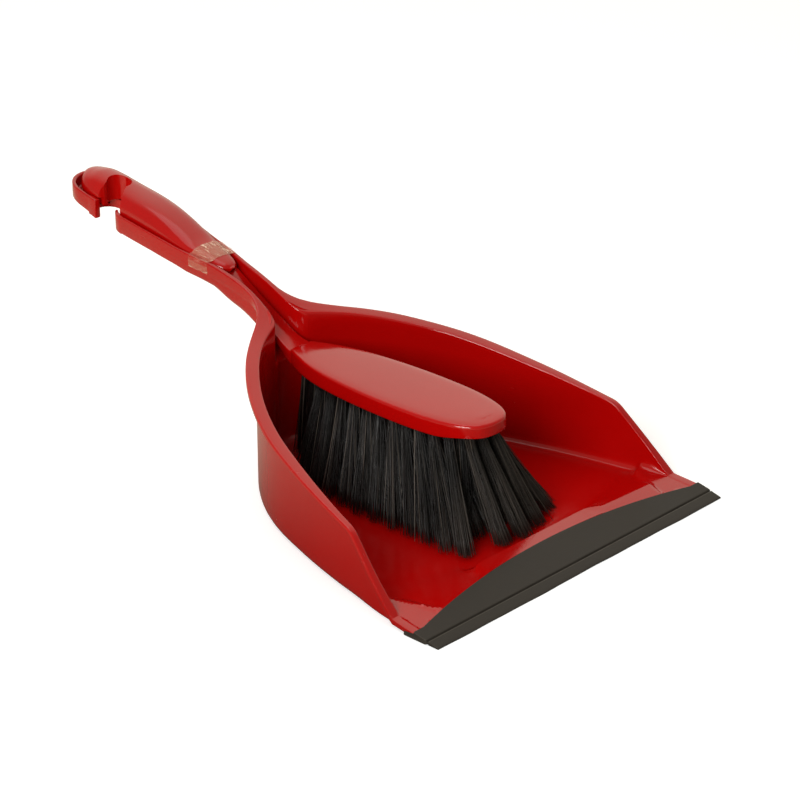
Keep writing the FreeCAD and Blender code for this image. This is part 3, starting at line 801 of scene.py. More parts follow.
def head_profile():
    """(inset, z) of the head's edge, from the bristle face up to the top."""
    profile = [(0.9, FACE_Z), (0.35, FACE_Z + 0.12), (0.08, FACE_Z + 0.5), (0.0, FACE_Z + 1.4),
               (0.0, FACE_Z + 4.0), (0.05, FACE_Z + 6.5)]
    for degrees in np.linspace(0, 76, 9):
        a, r = math.radians(degrees), HEAD_EDGE_R
        profile.append((0.10 + r * (1 - math.cos(a)), HEAD_TOP - 0.66 - r + r * math.sin(a)))
    return profile + [(inset, HEAD_TOP - below) for inset, below in (
        (2.1, 0.63), (2.9, 0.50), (3.9, 0.38), (5.2, 0.28), (6.8, 0.22))]


def build_head():
    arc = arc_lengths(HEAD)
    u = np.concatenate([np.linspace(0, 18, 18)[:-1], np.linspace(18, arc[-1], 66)])
    plan = np.array(natural(arc, HEAD)(u))[:, ::-1]       # x, y
    plan[0] = (0.0, HEAD[0, 0])
    along = np.gradient(plan, axis=0)
    along[0] = (1, 0)
    along /= np.hypot(along[:, 0], along[:, 1])[:, None]
    inward = np.stack([-along[:, 1], along[:, 0]], 1)
    rings = []
    for inset, z in head_profile():
        ring = plan + inward * inset
        ring[:, 1] = np.minimum(ring[:, 1], HEAD[-1, 0] - inset)
        ring[:, 0] = np.maximum(ring[:, 0], 0.0)
        ring[0, 0] = 0.0
        # the underside rises a little towards the nose
        nose = 0.9 + 1.9 * sstep((88.0 - ring[:, 1]) / 20.0)
        rings.append(np.column_stack([ring, z + nose * max(0.0, 1.0 - (z - FACE_Z) / 7.0)]))
    fractions = [i / CLOSING_COLS for i in range(CLOSING_COLS + 1)]
    bag = Bag()
    bag.grid(bag.add(rings))
    # rear end, from the outline's last point to the centre line
    bag.grid(bag.add([[(lerp(x, 0.0, t), y, z) for t in fractions]
                      for x, y, z in (ring[-1] for ring in rings)]))
    for ring, dome in ((rings[-1], 0.22), (rings[0], 0.0)):
        bag.grid(bag.add([[(x * (1 - t), y, z + dome * (1 - (1 - t) ** 2) * min(1.0, x / 8.0))
                           for t in fractions] for x, y, z in ring]))
    verts = np.array(bag.verts)
    n = len(verts)
    faces = bag.faces + [[i + n for i in face] for face in bag.faces]
    return solid("brush_head", np.vstack([verts, verts * (-1, 1, 1)]), faces, merge=0.01)


def rounded_box(w, z_top, z_bottom, r_top, r_bottom, corner_points=5):
    """Outline of half width w, as (x, z)."""
    points = []
    for sx, sz, z, r, start in ((1, 1, z_top, r_top, 0), (-1, 1, z_top, r_top, 90),
                                (-1, -1, z_bottom, r_bottom, 180),
                                (1, -1, z_bottom, r_bottom, 270)):
        for i in range(corner_points):
            a = math.radians(start + 90.0 * i / (corner_points - 1))
            points.append((sx * w - sx * r + r * math.cos(a), z - sz * r + r * math.sin(a)))
    return points


def build_neck():
    size_at = natural(NECK[:, 0], NECK[:, 1:])
    sections = []
    for y in np.linspace(NECK[0, 0], NECK[-1, 0], 54):
        outline = rounded_box(*size_at(np.array(y)), r_top=0.75, r_bottom=0.6)
        sections.append([(x, y, z) for x, z in outline])
    return loft("brush_neck", sections)


def arch(w, height, z_root, power, steps):
    """Superellipse arch from +x over to -x, as (x, z)."""
    e = 2.0 / power
    points = []
    for i in range(steps + 1):
        c, sn = math.cos(math.pi * i / steps), math.sin(math.pi * i / steps)
        points.append((w * math.copysign(abs(c) ** e, c), z_root + height * sn ** e))
    return points


def tip_sections(section, direction, steps):
    section = np.array(section)
    centre = section.mean(0)
    out = []
    for scale, beyond in steps:
        ring = centre + (section - centre) * scale
        ring[:, 1] = section[0, 1] + direction * beyond
        out.append(ring)
    return out


def build_grip():
    arc = arc_lengths(GRIP)
    size_at = pchip_columns(arc, GRIP)
    sections = []
    for u in np.concatenate([np.linspace(0, 12, 14)[:-1],
                             np.linspace(12, arc[-1] - 14, 52)[:-1],
                             np.linspace(arc[-1] - 14, arc[-1], 22)]):
        y, w, crown, depth = size_at(u)
        z_line = float(grip_line(y))
        power = lerp(CROWN_POWER, 2.3, float(sstep((y - 318.0) / 30.0)))
        points = arch(w, crown + CROWN_ROOT, z_line - CROWN_ROOT, power, steps=40)
        r = min(1.6, 0.45 * w, 0.45 * (depth + 0.1))
        for side, start in ((-1, 180), (1, 270)):
            for i in range(5):
                a = math.radians(start + 90.0 * i / 4)
                points.append((side * (w - r) + r * math.cos(a),
                               z_line - depth + r + r * math.sin(a)))
        sections.append([(x, y, z) for x, z in points])
    front = tip_sections(sections[0], -1.0, GRIP_FRONT_TIP)
    back = tip_sections(sections[-1], 1.0, GRIP_BACK_TIP)
    return loft("brush_grip", front + sections + back)


# ------------------------------------------------------------------ tuft layout
ROWS, PITCH, FIRST_ROW_Y = 14, 9.3, 74.0
HOLE_R, HOLE_DEPTH = 2.7, 7.5
TIP_Z = 2.9
# x of the roots in rows with fewer than four tufts
SHORT_ROWS = {0: (-8.6, 0.0, 8.6), ROWS - 2: (-8.6, 0.0, 8.6), ROWS - 1: (-5.2, 5.2)}
# Front rows: (x, y) of the tips, half width and half depth of each splayed tuft
FRONT_TIPS = {0: (((-12.0, 46.5), (1.5, 44.8), (16.0, 48.0)), 5.0, 4.4),
              1: (((-35.5, 51.0), (-18.0, 66.0), (12.0, 64.0), (32.0, 54.5)), 3.9, 4.2)}
# Back rows: x of the tips, half width
BACK_TIPS = {ROWS - 2: ((-13.0, 0.0, 13.0), 6.2), ROWS - 1: ((-5.5, 5.5), 5.0)}


def tuft_rows():
    """Per row a list of (root x, root y, tip x, tip y, tip half width, tip half depth)."""
    rows = []
    for i in range(ROWS):
        root_y = FIRST_ROW_Y + PITCH * i
        outer = min(float(np.interp(root_y, HEAD[:, 0], HEAD[:, 1])) - 5.6, 15.8)
        roots = SHORT_ROWS.get(i, (-outer, -outer / 3.0, outer / 3.0, outer))
        if i in FRONT_TIPS:
            tips, half, depth = FRONT_TIPS[i]
        else:
            tip_y, depth = 62.0 + (i - 2) / (ROWS - 3) * 135.0, 5.2
            if i in BACK_TIPS:
                tips_x, half = BACK_TIPS[i]
            else:
                n = len(roots)
                reach = min(43.0 - max(i - 7, 0) * 1.6, wall_inner_x(tip_y) - 3.0)
                half = reach / n - 0.12
                tips_x = [-reach + (2 * k + 1) * reach / n for k in range(n)]
            tips = [(x, tip_y) for x in tips_x]
        rows.append([(x, root_y, *tip, half, depth) for x, tip in zip(roots, tips)])
    return rows


def tuft_holes():
    bag = Bag()
    for row in tuft_rows():
        for x, y, *_ in row:
            ring = circle(x, y, HOLE_R, 20)
            bag.tube([[(px, py, z) for px, py in ring]
                      for z in (FACE_Z - 1.0, FACE_Z + HOLE_DEPTH)])
    return solid("tuft_holes", bag.verts, bag.faces, merge=0)


def build_brush():
    head = build_head()
    boolean(head, tuft_holes(), "DIFFERENCE")
    grip = build_grip()
    boolean(grip, prism("grip_hole", circle(HOOK_X, HOOK_Y, GRIP_HOLE_R, 64), 70.0, 150.0),
            "DIFFERENCE")
    boolean(grip, prism("grip_mouth", GRIP_MOUTH, 70.0, 150.0), "DIFFERENCE")
    boolean(grip, prism("grip_notch", GRIP_NOTCH, 70.0, lambda y: grip_line(y) - 1.1, bevel=0.6),
            "DIFFERENCE")
    boolean(grip, build_neck(), "UNION")
    boolean(grip, head, "UNION")
    grip.name = "brush_block"
    grip.data.name = "brush_block"
    return grip


brush = build_brush()
sharp_by_angle(brush, 36)


# ------------------------------------------------------------------ bristles
FILAMENT_R = 0.20
FILAMENT_RINGS = 8
TUFT_R = 2.45                                 # the outermost roots lie this far from the centre
GOLDEN_ANGLE = 2.399963


def filament_paths(tuft, n, rng):
    """Centre lines of one tuft, from the roots in the hole to the splayed tips."""
    root_x, root_y, tip_x, tip_y, half, depth = tuft
    k = np.arange(n)
    r = TUFT_R * np.sqrt((k + 0.5) / n)
    angle = k * GOLDEN_ANGLE + rng.uniform(0, 6.28)
    unit_x, unit_y = r * np.cos(angle) / TUFT_R, r * np.sin(angle) / TUFT_R
    root = np.stack([root_x + r * np.cos(angle), root_y + r * np.sin(angle)], 1)
    # the round tuft spreads to a rounded rectangle at the tips
    longest = np.maximum(np.abs(unit_x), np.abs(unit_y)) + 1e-9
    square = 1.0 + (np.sqrt(unit_x ** 2 + unit_y ** 2) / longest - 1.0) * 0.75
    spread = 1.0 + rng.normal(0, 0.05, n)
    tip = np.stack([tip_x + unit_x * square * half * spread,
                    tip_y + unit_y * square * depth * spread], 1) + rng.normal(0, 0.42, (n, 2))
    stray = rng.random(n) < 0.045
    tip[stray] += rng.normal(0, 1.5, (stray.sum(), 2))
    # keep the tips inside the pan's walls
    limit = np.array([wall_inner_x(y) for y in tip[:, 1]]) - 1.6
    limit = np.where(tip[:, 1] < 34.0, 100.0, limit)
    tip[:, 0] = np.clip(tip[:, 0], -limit, limit)
    lean = np.hypot(tip[:, 0] - root[:, 0], tip[:, 1] - root[:, 1])
    tip_z = TIP_Z - 0.3 + np.abs(rng.normal(0, 0.75, n)) + 0.0009 * lean ** 2
    wave_size = rng.normal(0, 0.16, (n, 2))
    wave_phase = rng.uniform(0, 6.28, (n, 2))
    wave_rate = rng.uniform(1.2, 2.4, (n, 2))
    bow = 1.06 + rng.uniform(-0.05, 0.22, n)
    path = np.zeros((n, FILAMENT_RINGS + 1, 3))
    path[:, 0, :2], path[:, 0, 2] = root, FACE_Z + 5.5
    for j, t in enumerate(np.linspace(0.0, 1.0, FILAMENT_RINGS), 1):
        envelope = math.sin(math.pi * min(1.0, t * 1.02)) ** 0.5
        wave = wave_size * np.sin(wave_phase + wave_rate * 3.0 * t) * envelope
        path[:, j, :2] = root + (tip - root) * (t ** bow)[:, None] + wave
        path[:, j, 2] = FACE_Z + (tip_z - FACE_Z) * t
    return path


def filament_tubes(path, rng):
    """Three-sided tubes round the paths: filament, ring, side, xyz."""
    n = len(path)
    along = np.gradient(path, axis=1)
    along /= np.linalg.norm(along, axis=2, keepdims=True)
    side_a = np.cross(along, np.array([0.31, 0.87, 0.12]))
    side_a /= np.linalg.norm(side_a, axis=2, keepdims=True)
    side_b = np.cross(along, side_a)
    phase = rng.uniform(0, 6.28, n)
    taper = np.concatenate([np.full(FILAMENT_RINGS - 1, 1.0), [0.92, 0.62]])
    r = FILAMENT_R * rng.uniform(0.85, 1.15, n)[:, None] * taper[None, :]
    sides = []
    for i in range(3):
        a = phase + i * 2.0943951
        sides.append(path + r[..., None] * (np.cos(a)[:, None, None] * side_a
                                            + np.sin(a)[:, None, None] * side_b))
    return np.stack(sides, 2)


def build_bristle_row(name, tufts, seed, per_tuft):
    rng = np.random.default_rng(seed)
    verts, faces = [], []
    first = 0
    for tuft in tufts:
        tubes = filament_tubes(filament_paths(tuft, per_tuft, rng), rng)
        verts.append(tubes.reshape(-1, 3))
        index = first + np.arange(tubes.size // 3).reshape(tubes.shape[:3])
        for i, j in ((0, 1), (1, 2), (2, 0)):
            quads = np.stack([index[:, :-1, i], index[:, :-1, j],
                              index[:, 1:, j], index[:, 1:, i]], -1)
            faces += quads.reshape(-1, 4).tolist()
        faces += index[:, -1].tolist() + index[:, 0, ::-1].tolist()
        first += index.size
    return add_object(name, np.concatenate(verts), faces)


PER_TUFT = 150
bristles = [build_bristle_row("bristle_row_%02d" % (i + 1), row, seed=4100 + i, per_tuft=PER_TUFT)
            for i, row in enumerate(tuft_rows())]


# ------------------------------------------------------------------ rubber lip
LIP_X, LIP_END_X = 110.2, 111.0               # where the lip's section stops; its outer ends
SIDE_X = 108.0                                # beyond this the lower leg reaches further back


def lip_section(x):
    """Closed (y, z) outline of the lip, wrapped over and under the pan's front edge."""
    rear = float(lip_rear(x)) - 0.05
    side = float(sstep((abs(x) - SIDE_X) / 0.5))

    def bed(y):
        return bed_z(y) + 0.04

    def top(y):
        return 2.62 + 0.2187 * (y - 8.65)

    def leg_top(y):
        return 0.91 + max(0.0, y - 15.5) * 0.20 * side

    # slow unevenness of the trimmed front edge and of the thin blade
    ragged = (0.30 * math.sin(x * 0.045 + 0.7) + 0.22 * math.sin(x * 0.11 + 2.0)
              + 0.14 * math.sin(x * 0.23))
    wavy = 0.10 * math.sin(x * 0.06 + 1.0) + 0.07 * math.sin(x * 0.15)
    tip = 0.35 + 0.5 * max(-0.6, ragged)
    lift = max(0.0, wavy) * 0.9
    leg = 14.8 + 8.2 * side
    z_top, z_bed = top(rear), bed(rear)
    # blade and hinge groove, seen from above
    points = [
        (tip + 0.12, 0.06 + lift), (tip, 0.20 + lift), (tip, 0.52 + lift),
        (tip + 0.18, 0.70 + lift), (2.0, 1.14 + lift * 0.7), (4.2, 1.66 + lift * 0.4),
        (6.2, 2.16), (6.75, 2.28), (6.98, 2.26), (7.12, 2.12), (7.30, 1.72), (7.55, 1.52),
        (7.85, 1.52), (8.08, 1.72), (8.22, 2.20), (8.36, 2.48), (8.60, 2.62), (9.3, top(9.3))]
    points += [(y, top(y)) for y in (lerp(9.3, rear, t) for t in np.linspace(0.12, 0.93, 9))]
    # rear edge, then forward over the bed
    points += [
        (rear - 0.45, top(rear - 0.45)), (rear - 0.16, z_top - 0.10), (rear - 0.02, z_top - 0.30),
        (rear, lerp(z_top, z_bed, 0.6)), (rear - 0.05, z_bed + 0.12), (rear - 0.2, z_bed)]
    points += [(y, bed(y)) for y in (lerp(9.9, rear, t) for t in np.linspace(0.9, 0.1, 7))]
    # the leg under the pan, and back along the underside
    return points + [
        (9.66, 1.76), (9.62, 1.35), (9.66, 0.91), (12.0, 0.91), (leg - 0.25, leg_top(leg)),
        (leg - 0.02, leg_top(leg) - 0.12), (leg, 0.45), (leg - 0.08, 0.20), (leg - 0.3, 0.12),
        (11.5, 0.12), (8.75, 0.12), (8.45, 0.20), (8.2, 0.50), (7.85, 0.66), (7.5, 0.58),
        (7.2, 0.34), (6.9, 0.25), (4.5, 0.18 + lift * 0.3), (2.2, 0.12 + lift * 0.7)]


def shrunk(section, x, inset):
    """The section moved to x and drawn in, to round off an end."""
    section = np.array(section, float)
    along = (np.roll(section, -1, 0) - np.roll(section, 1, 0))[:, 1:]
    along /= np.maximum(np.hypot(along[:, 0], along[:, 1]), 1e-6)[:, None]
    section[:, 1:] += np.stack([along[:, 1], -along[:, 0]], 1) * inset
    section[:, 0] = x
    return section.tolist()


def build_lip():
    sections = [[(x, y, z) for y, z in lip_section(x)] for x in np.linspace(-LIP_X, LIP_X, 180)]
    first, last = sections[0], sections[-1]
    sections = ([shrunk(first, -110.5, 0.14), shrunk(first, -110.43, 0.04)] + sections
                + [shrunk(last, 110.43, 0.04), shrunk(last, 110.5, 0.14)])
    ob = loft("rubber_lip", sections, merge=0)
    # blocks closing the wrapped ends; (y, z) outline
    rear = float(lip_rear(110.0)) - 0.1
    outline = [(7.9, 0.5), (9.0, 0.13), (22.6, 0.13), (22.9, 0.5), (22.8, 2.1), (22.3, 2.3),
               (rear + 0.1, 3.2), (rear - 0.2, 4.02), (9.2, 2.66), (8.4, 2.45), (8.0, 1.8)]
    parts = [ob]
    for side in (-1, 1):
        # x of each ring, and how far it is drawn towards the block's middle
        rings = [[(side * x, lerp(y, 15.5, draw), lerp(z, 1.6, draw)) for y, z in outline]
                 for x, draw in ((LIP_X, 0.012), (110.3, 0.0), (110.85, 0.0), (LIP_END_X, 0.02))]
        parts.append(loft("lip_end", rings[::side], merge=0))
    bpy.ops.object.select_all(action="DESELECT")
    for part in parts:
        part.select_set(True)
    bpy.context.view_layer.objects.active = ob
    bpy.ops.object.join()
    return ob


lip = build_lip()
sharp_by_angle(lip, 42)


# ------------------------------------------------------------------ tape
TAPE_Y0, TAPE_Y1 = 265.6, 278.7
TAPE_T = 0.11
TAPE_HANG = 6.4                               # how far the ends hang below the rim
TAPE_ROWS, TAPE_COLS = 40, 150
# y, half width over the handle's flanges
FLANGE_WIDTH = np.array([(255, 9.3), (264, 10.5), (272, 11.9), (282, 13.2), (292, 14.3)])


def tape_path(y, size_at):
    """(x, z) of the strip from the +X flange over the grip to the -X flange."""
    w = float(np.interp(y, *FLANGE_WIDTH.T)) + 0.32
    _, grip_w, crown, _ = size_at(y)
    rim = float(rim_z(y))
    side = [(w, rim - TAPE_HANG), (w, rim - 0.3), (w - 0.25, rim + 0.22), (w - 1.6, rim + 0.30)]
    over = arch(grip_w + 0.20, crown + 3.34, float(grip_line(y)) - CROWN_ROOT, CROWN_POWER, 30)
    over = [(x, z) for x, z in over[1:-1] if z > rim + 0.35 and abs(x) < w - 1.8]
    return np.array(side + over + [(-x, z) for x, z in side[::-1]])


def build_tape():
    rng = np.random.default_rng(77)
    # creases: place across, place along, slant, ridge width, height, length
    creases = [(rng.uniform(-0.9, 0.9), rng.uniform(-0.15, 1.15),
                rng.uniform(0.18, 1.05) * rng.choice([1, 1, -1]), rng.uniform(0.012, 0.035),
                rng.uniform(0.05, 0.20), rng.uniform(0.25, 1.2)) for _ in range(13)]
    # waves: rate across, rate along, phase, height
    waves = [(rng.uniform(4, 10), rng.uniform(3, 8), rng.uniform(0, 6.28),
              rng.uniform(0.02, 0.05)) for _ in range(5)]
    size_at = pchip_columns(GRIP[:, 0], GRIP)
    u = np.linspace(-1, 1, TAPE_COLS)
    inner = np.zeros((TAPE_ROWS, TAPE_COLS, 3))
    lift = np.zeros((TAPE_ROWS, TAPE_COLS))
    for j in range(TAPE_ROWS):
        v = j / (TAPE_ROWS - 1)
        y = lerp(TAPE_Y0, TAPE_Y1, v)
        path = tape_path(y, size_at)
        length = arc_lengths(path)
        stops = np.linspace(0, length[-1], TAPE_COLS)
        inner[j, :, 0] = np.interp(stops, length, path[:, 0])
        inner[j, :, 1] = y
        inner[j, :, 2] = np.interp(stops, length, path[:, 1])
        height = np.zeros(TAPE_COLS)
        for at_u, at_v, slant, width, size, reach in creases:
            along = (u - at_u) * slant + (v - at_v)
            over = (u - at_u) - (v - at_v) * 0.35 * slant
            height += (size * np.exp(-(along / (width * 3)) ** 2)
                       * np.exp(-(over / (0.25 * reach)) ** 2))
        for rate_u, rate_v, phase, size in waves:
            height += size * (1 + np.sin(rate_u * u + rate_v * v * 3 + phase)) * 0.5
        # the strip hardly lifts where it hangs against the flanges
        lift[j] = height * np.clip((inner[j, :, 2] - (float(rim_z(y)) - 0.6)) / 1.2, 0.15, 1)
    for _ in range(2):                        # soften the path's corners
        inner[:, 1:-1] = 0.25 * inner[:, :-2] + 0.5 * inner[:, 1:-1] + 0.25 * inner[:, 2:]
    normal = np.cross(np.gradient(inner, axis=0), np.gradient(inner, axis=1))
    normal /= np.linalg.norm(normal, axis=2, keepdims=True)
    inner = inner + normal * (0.02 + lift[..., None])
    bag = Bag()
    low, high = bag.add(inner), bag.add(inner + normal * TAPE_T)
    bag.grid(low[::-1])
    bag.grid(high)
    for edge in ((low[0], high[0]), (high[-1], low[-1]),
                 (high[:, 0], low[:, 0]), (low[:, -1], high[:, -1])):
        bag.grid(np.stack(edge))
    return solid("tape_strip_film", bag.verts, bag.faces, merge=0)


tape = build_tape()


# ------------------------------------------------------------------ shader node helper
class Nodes:
    """Adds nodes to the tree of a material or a world."""

    def __init__(self, owner):
        self.owner = owner
        self.tree = owner.node_tree
        self.coords = self.new("ShaderNodeTexCoord").outputs

    def new(self, kind, **settings):
        node = self.tree.nodes.new(kind)
        for key, value in settings.items():
            setattr(node, key, value)
        return node

    def link(self, a, b):
        self.tree.links.new(a, b)

    def set(self, socket, value):
        """Link a socket, or set a plain value; colours may leave out alpha."""
        if isinstance(value, bpy.types.NodeSocket):
            self.link(value, socket)
        elif isinstance(value, tuple) and socket.type == "RGBA" and len(value) == 3:
            socket.default_value = (*value, 1)
        else:
            socket.default_value = value

    def mapping(self, scale=(1, 1, 1), rot=(0, 0, 0), loc=(0, 0, 0)):
        node = self.new("ShaderNodeMapping")
        for key, value in (("Scale", scale), ("Rotation", rot), ("Location", loc),
                           ("Vector", self.coords["Object"])):
            self.set(node.inputs[key], value)
        return node.outputs["Vector"]

    def noise(self, scale, detail, rough, vec=None, distortion=0.0):
        node = self.new("ShaderNodeTexNoise")
        for key, value in (("Scale", scale), ("Detail", detail), ("Roughness", rough),
                           ("Distortion", distortion), ("Vector", vec or self.coords["Object"])):
            self.set(node.inputs[key], value)
        return node.outputs["Fac"]

    def ramp(self, fac, stops):
        node = self.new("ShaderNodeValToRGB")
        elements = node.color_ramp.elements
        while len(elements) < len(stops):
            elements.new(0.5)
        for element, (position, colour) in zip(elements, stops):
            element.position = position
            element.color = (*colour, 1)
        self.link(fac, node.inputs["Fac"])
        return node.outputs["Color"]

    def math(self, operation, a, b, clamp=False):
        node = self.new("ShaderNodeMath", operation=operation, use_clamp=clamp)
        self.set(node.inputs[0], a)
        self.set(node.inputs[1], b)
        return node.outputs[0]

    def vector_math(self, operation, a, b=None):
        node = self.new("ShaderNodeVectorMath", operation=operation)
        self.link(a, node.inputs[0])
        if b is not None:
            node.inputs[1].default_value = b
        return node.outputs

    def remap(self, value, span, to=(0.0, 1.0), interpolation="LINEAR"):
        node = self.new("ShaderNodeMapRange", interpolation_type=interpolation)
        self.set(node.inputs["Value"], value)
        for key, number in zip(("From Min", "From Max", "To Min", "To Max"), (*span, *to)):
            node.inputs[key].default_value = number
        return node.outputs["Result"]

    def mix(self, fac, a, b):
        """Mix two colours."""
        node = self.new("ShaderNodeMix", data_type="RGBA")
        for i, value in ((0, fac), (6, a), (7, b)):
            self.set(node.inputs[i], value)
        return node.outputs[2]

    def bump(self, height, strength, dist, normal=None):
        node = self.new("ShaderNodeBump")
        self.set(node.inputs["Strength"], strength)
        self.set(node.inputs["Distance"], dist)
        self.link(height, node.inputs["Height"])
        if normal is not None:
            self.link(normal, node.inputs["Normal"])
        return node.outputs["Normal"]

    def object_axes(self):
        node = self.new("ShaderNodeSeparateXYZ")
        self.link(self.coords["Object"], node.inputs[0])
        return node.outputs

    def principled(self, **values):
        """Principled shader; underscores in the names stand for spaces."""
        node = self.new("ShaderNodeBsdfPrincipled")
        for key, value in values.items():
            self.set(node.inputs[key.replace("_", " ")], value)
        return node.outputs[0]

    def finish(self, shader):
        self.link(shader, self.new("ShaderNodeOutputMaterial").inputs["Surface"])
        return self.owner


def material_nodes(name):
    mat = bpy.data.materials.new(name)
    mat.use_nodes = True
    mat.node_tree.nodes.clear()
    return Nodes(mat)


# ------------------------------------------------------------------ materials
# Hairline scuffs on the plastic: rotation, noise scale, stretch along y
SCUFFS = (((0.2, 0.1, 0.5), 600.0, 34.0),
          ((0.1, 0.4, -0.9), 480.0, 40.0),
          ((0.5, 0.0, 1.9), 680.0, 46.0))


def plastic(name, base, deep, rough, seed):
    """Glossy moulded plastic: mottling, orange peel, hairline scuffs and paler edges."""
    m = material_nodes(name)
    red, green, blue = base
    mottle = m.noise(scale=9.0, detail=3.0, rough=0.5, vec=m.mapping(loc=(seed, seed * 0.7, 1.3)))
    col = m.mix(m.remap(mottle, span=(0.35, 0.68)), base, deep)
    fine = m.noise(scale=240.0, detail=4.0, rough=0.6)
    col = m.mix(m.remap(fine, span=(0.42, 0.7), to=(0.0, 0.10)), col,
                (red * 0.72, green * 0.6, blue * 0.6))
    pointiness = m.new("ShaderNodeNewGeometry").outputs["Pointiness"]
    col = m.mix(m.remap(pointiness, span=(0.53, 0.60), to=(0.0, 0.22)), col,
                (min(1.0, red * 1.35), green * 2.0 + 0.008, blue * 2.0 + 0.006))
    hairs = []
    for k, (rot, scale, stretch) in enumerate(SCUFFS):
        vec = m.mapping(scale=(1.0, 1.0 / stretch, 1.0), rot=rot, loc=(k * 3.1 + seed, 0, 0))
        hairs.append(m.remap(m.noise(scale=scale, detail=2.0, rough=0.5, vec=vec),
                             span=(0.685, 0.72)))
    patches = m.remap(m.noise(scale=26.0, detail=3.0, rough=0.6,
                              vec=m.mapping(loc=(5 + seed, 2, 0))), span=(0.50, 0.66))
    scuff = m.math("MAXIMUM", m.math("MAXIMUM", hairs[0], hairs[1]), hairs[2])
    scuff = m.math("MULTIPLY", scuff, patches)
    haze = m.remap(m.noise(scale=55.0, detail=5.0, rough=0.65),
                   span=(0.35, 0.75), to=(-0.035, 0.06))
    roughness = m.math("ADD", m.math("ADD", haze, rough), m.math("MULTIPLY", scuff, 0.16),
                       clamp=True)
    normal = m.bump(m.noise(scale=620.0, detail=2.0, rough=0.5), strength=0.10, dist=0.00006)
    normal = m.bump(m.noise(scale=34.0, detail=2.0, rough=0.5), strength=0.22, dist=0.0006,
                    normal=normal)
    normal = m.bump(scuff, strength=0.12, dist=0.00005, normal=normal)
    return m.finish(m.principled(Base_Color=col, Roughness=roughness, IOR=1.49, Normal=normal,
                                 Specular_IOR_Level=0.5))


def rubber(name):
    """Dull black rubber with fine lines along x, dusty patches and paler edges."""
    m = material_nodes(name)
    mottle = m.noise(scale=60.0, detail=5.0, rough=0.6)
    lines = m.noise(scale=900.0, detail=2.0, rough=0.5, vec=m.mapping(scale=(0.012, 1.0, 1.0)))
    dust = m.remap(m.noise(scale=22.0, detail=6.0, rough=0.7), span=(0.45, 0.72))
    col = m.mix(m.remap(mottle, span=(0.3, 0.7)), (0.019, 0.016, 0.0125), (0.028, 0.024, 0.019))
    col = m.mix(m.math("MULTIPLY", dust, 0.16), col, (0.080, 0.070, 0.056))
    pointiness = m.new("ShaderNodeNewGeometry").outputs["Pointiness"]
    col = m.mix(m.remap(pointiness, span=(0.52, 0.60), to=(0.0, 0.5)), col,
                (0.075, 0.066, 0.054))
    roughness = m.math("ADD", m.remap(mottle, span=(0.3, 0.7), to=(0.46, 0.58)),
                       m.math("MULTIPLY", dust, 0.10))
    normal = m.bump(lines, strength=0.35, dist=0.00008)
    normal = m.bump(m.noise(scale=1500.0, detail=2.0, rough=0.6), strength=0.25, dist=0.00004,
                    normal=normal)
    return m.finish(m.principled(Base_Color=col, Roughness=roughness, IOR=1.45,
                                 Specular_IOR_Level=0.28, Normal=normal))


def fibre(name):
    """Black filaments, each a little different, a few pale strands with painted highlights, paler
    at the tips and the front.
    """
    m = material_nodes(name)
    rnd = m.new("ShaderNodeNewGeometry").outputs["Random Per Island"]
    # a random shade for each filament; the pale top end of the ramp paints highlights onto a few
    # strands
    col = m.ramp(rnd, [(0.0, (0.0014, 0.0011, 0.0010)), (0.66, (0.0028, 0.0022, 0.0018)),
                       (0.86, (0.011, 0.0092, 0.0080)), (1.0, (0.140, 0.120, 0.100))])
    axes = m.object_axes()
    col = m.mix(m.remap(axes["Z"], span=(0.004, 0.026), to=(0.35, 0.0)), col,
                (0.020, 0.018, 0.016))
    front = m.remap(axes["Y"], span=((73.0 + Y0) * 0.001, (58.0 + Y0) * 0.001), to=(0.0, 0.55))
    col = m.mix(m.math("MULTIPLY", front, m.math("ADD", rnd, 0.25), clamp=True), col,
                (0.055, 0.044, 0.036))
    bands = m.noise(scale=420.0, detail=2.0, rough=0.5, vec=m.mapping(scale=(1.0, 1.0, 2.2)))
    roughness = m.math("ADD", m.remap(bands, span=(0.3, 0.7), to=(0.22, 0.40)),
                       m.math("MULTIPLY", rnd, 0.10))
    normal = m.bump(bands, strength=0.30, dist=0.00012)
    return m.finish(m.principled(Base_Color=col, Roughness=roughness, IOR=1.53, Normal=normal,
                                 Specular_IOR_Level=0.36))


def steel(name):
    m = material_nodes(name)
    grain = m.noise(scale=900.0, detail=3.0, rough=0.6, vec=m.mapping(scale=(1.0, 0.1, 1.0)))
    col = m.mix(m.remap(grain, span=(0.3, 0.7)), (0.52, 0.50, 0.47), (0.36, 0.34, 0.31))
    normal = m.bump(grain, strength=0.3, dist=0.00003)
    return m.finish(m.principled(
        Base_Color=col, Metallic=1.0, Normal=normal,
        Roughness=m.remap(grain, span=(0.3, 0.7), to=(0.25, 0.42))))


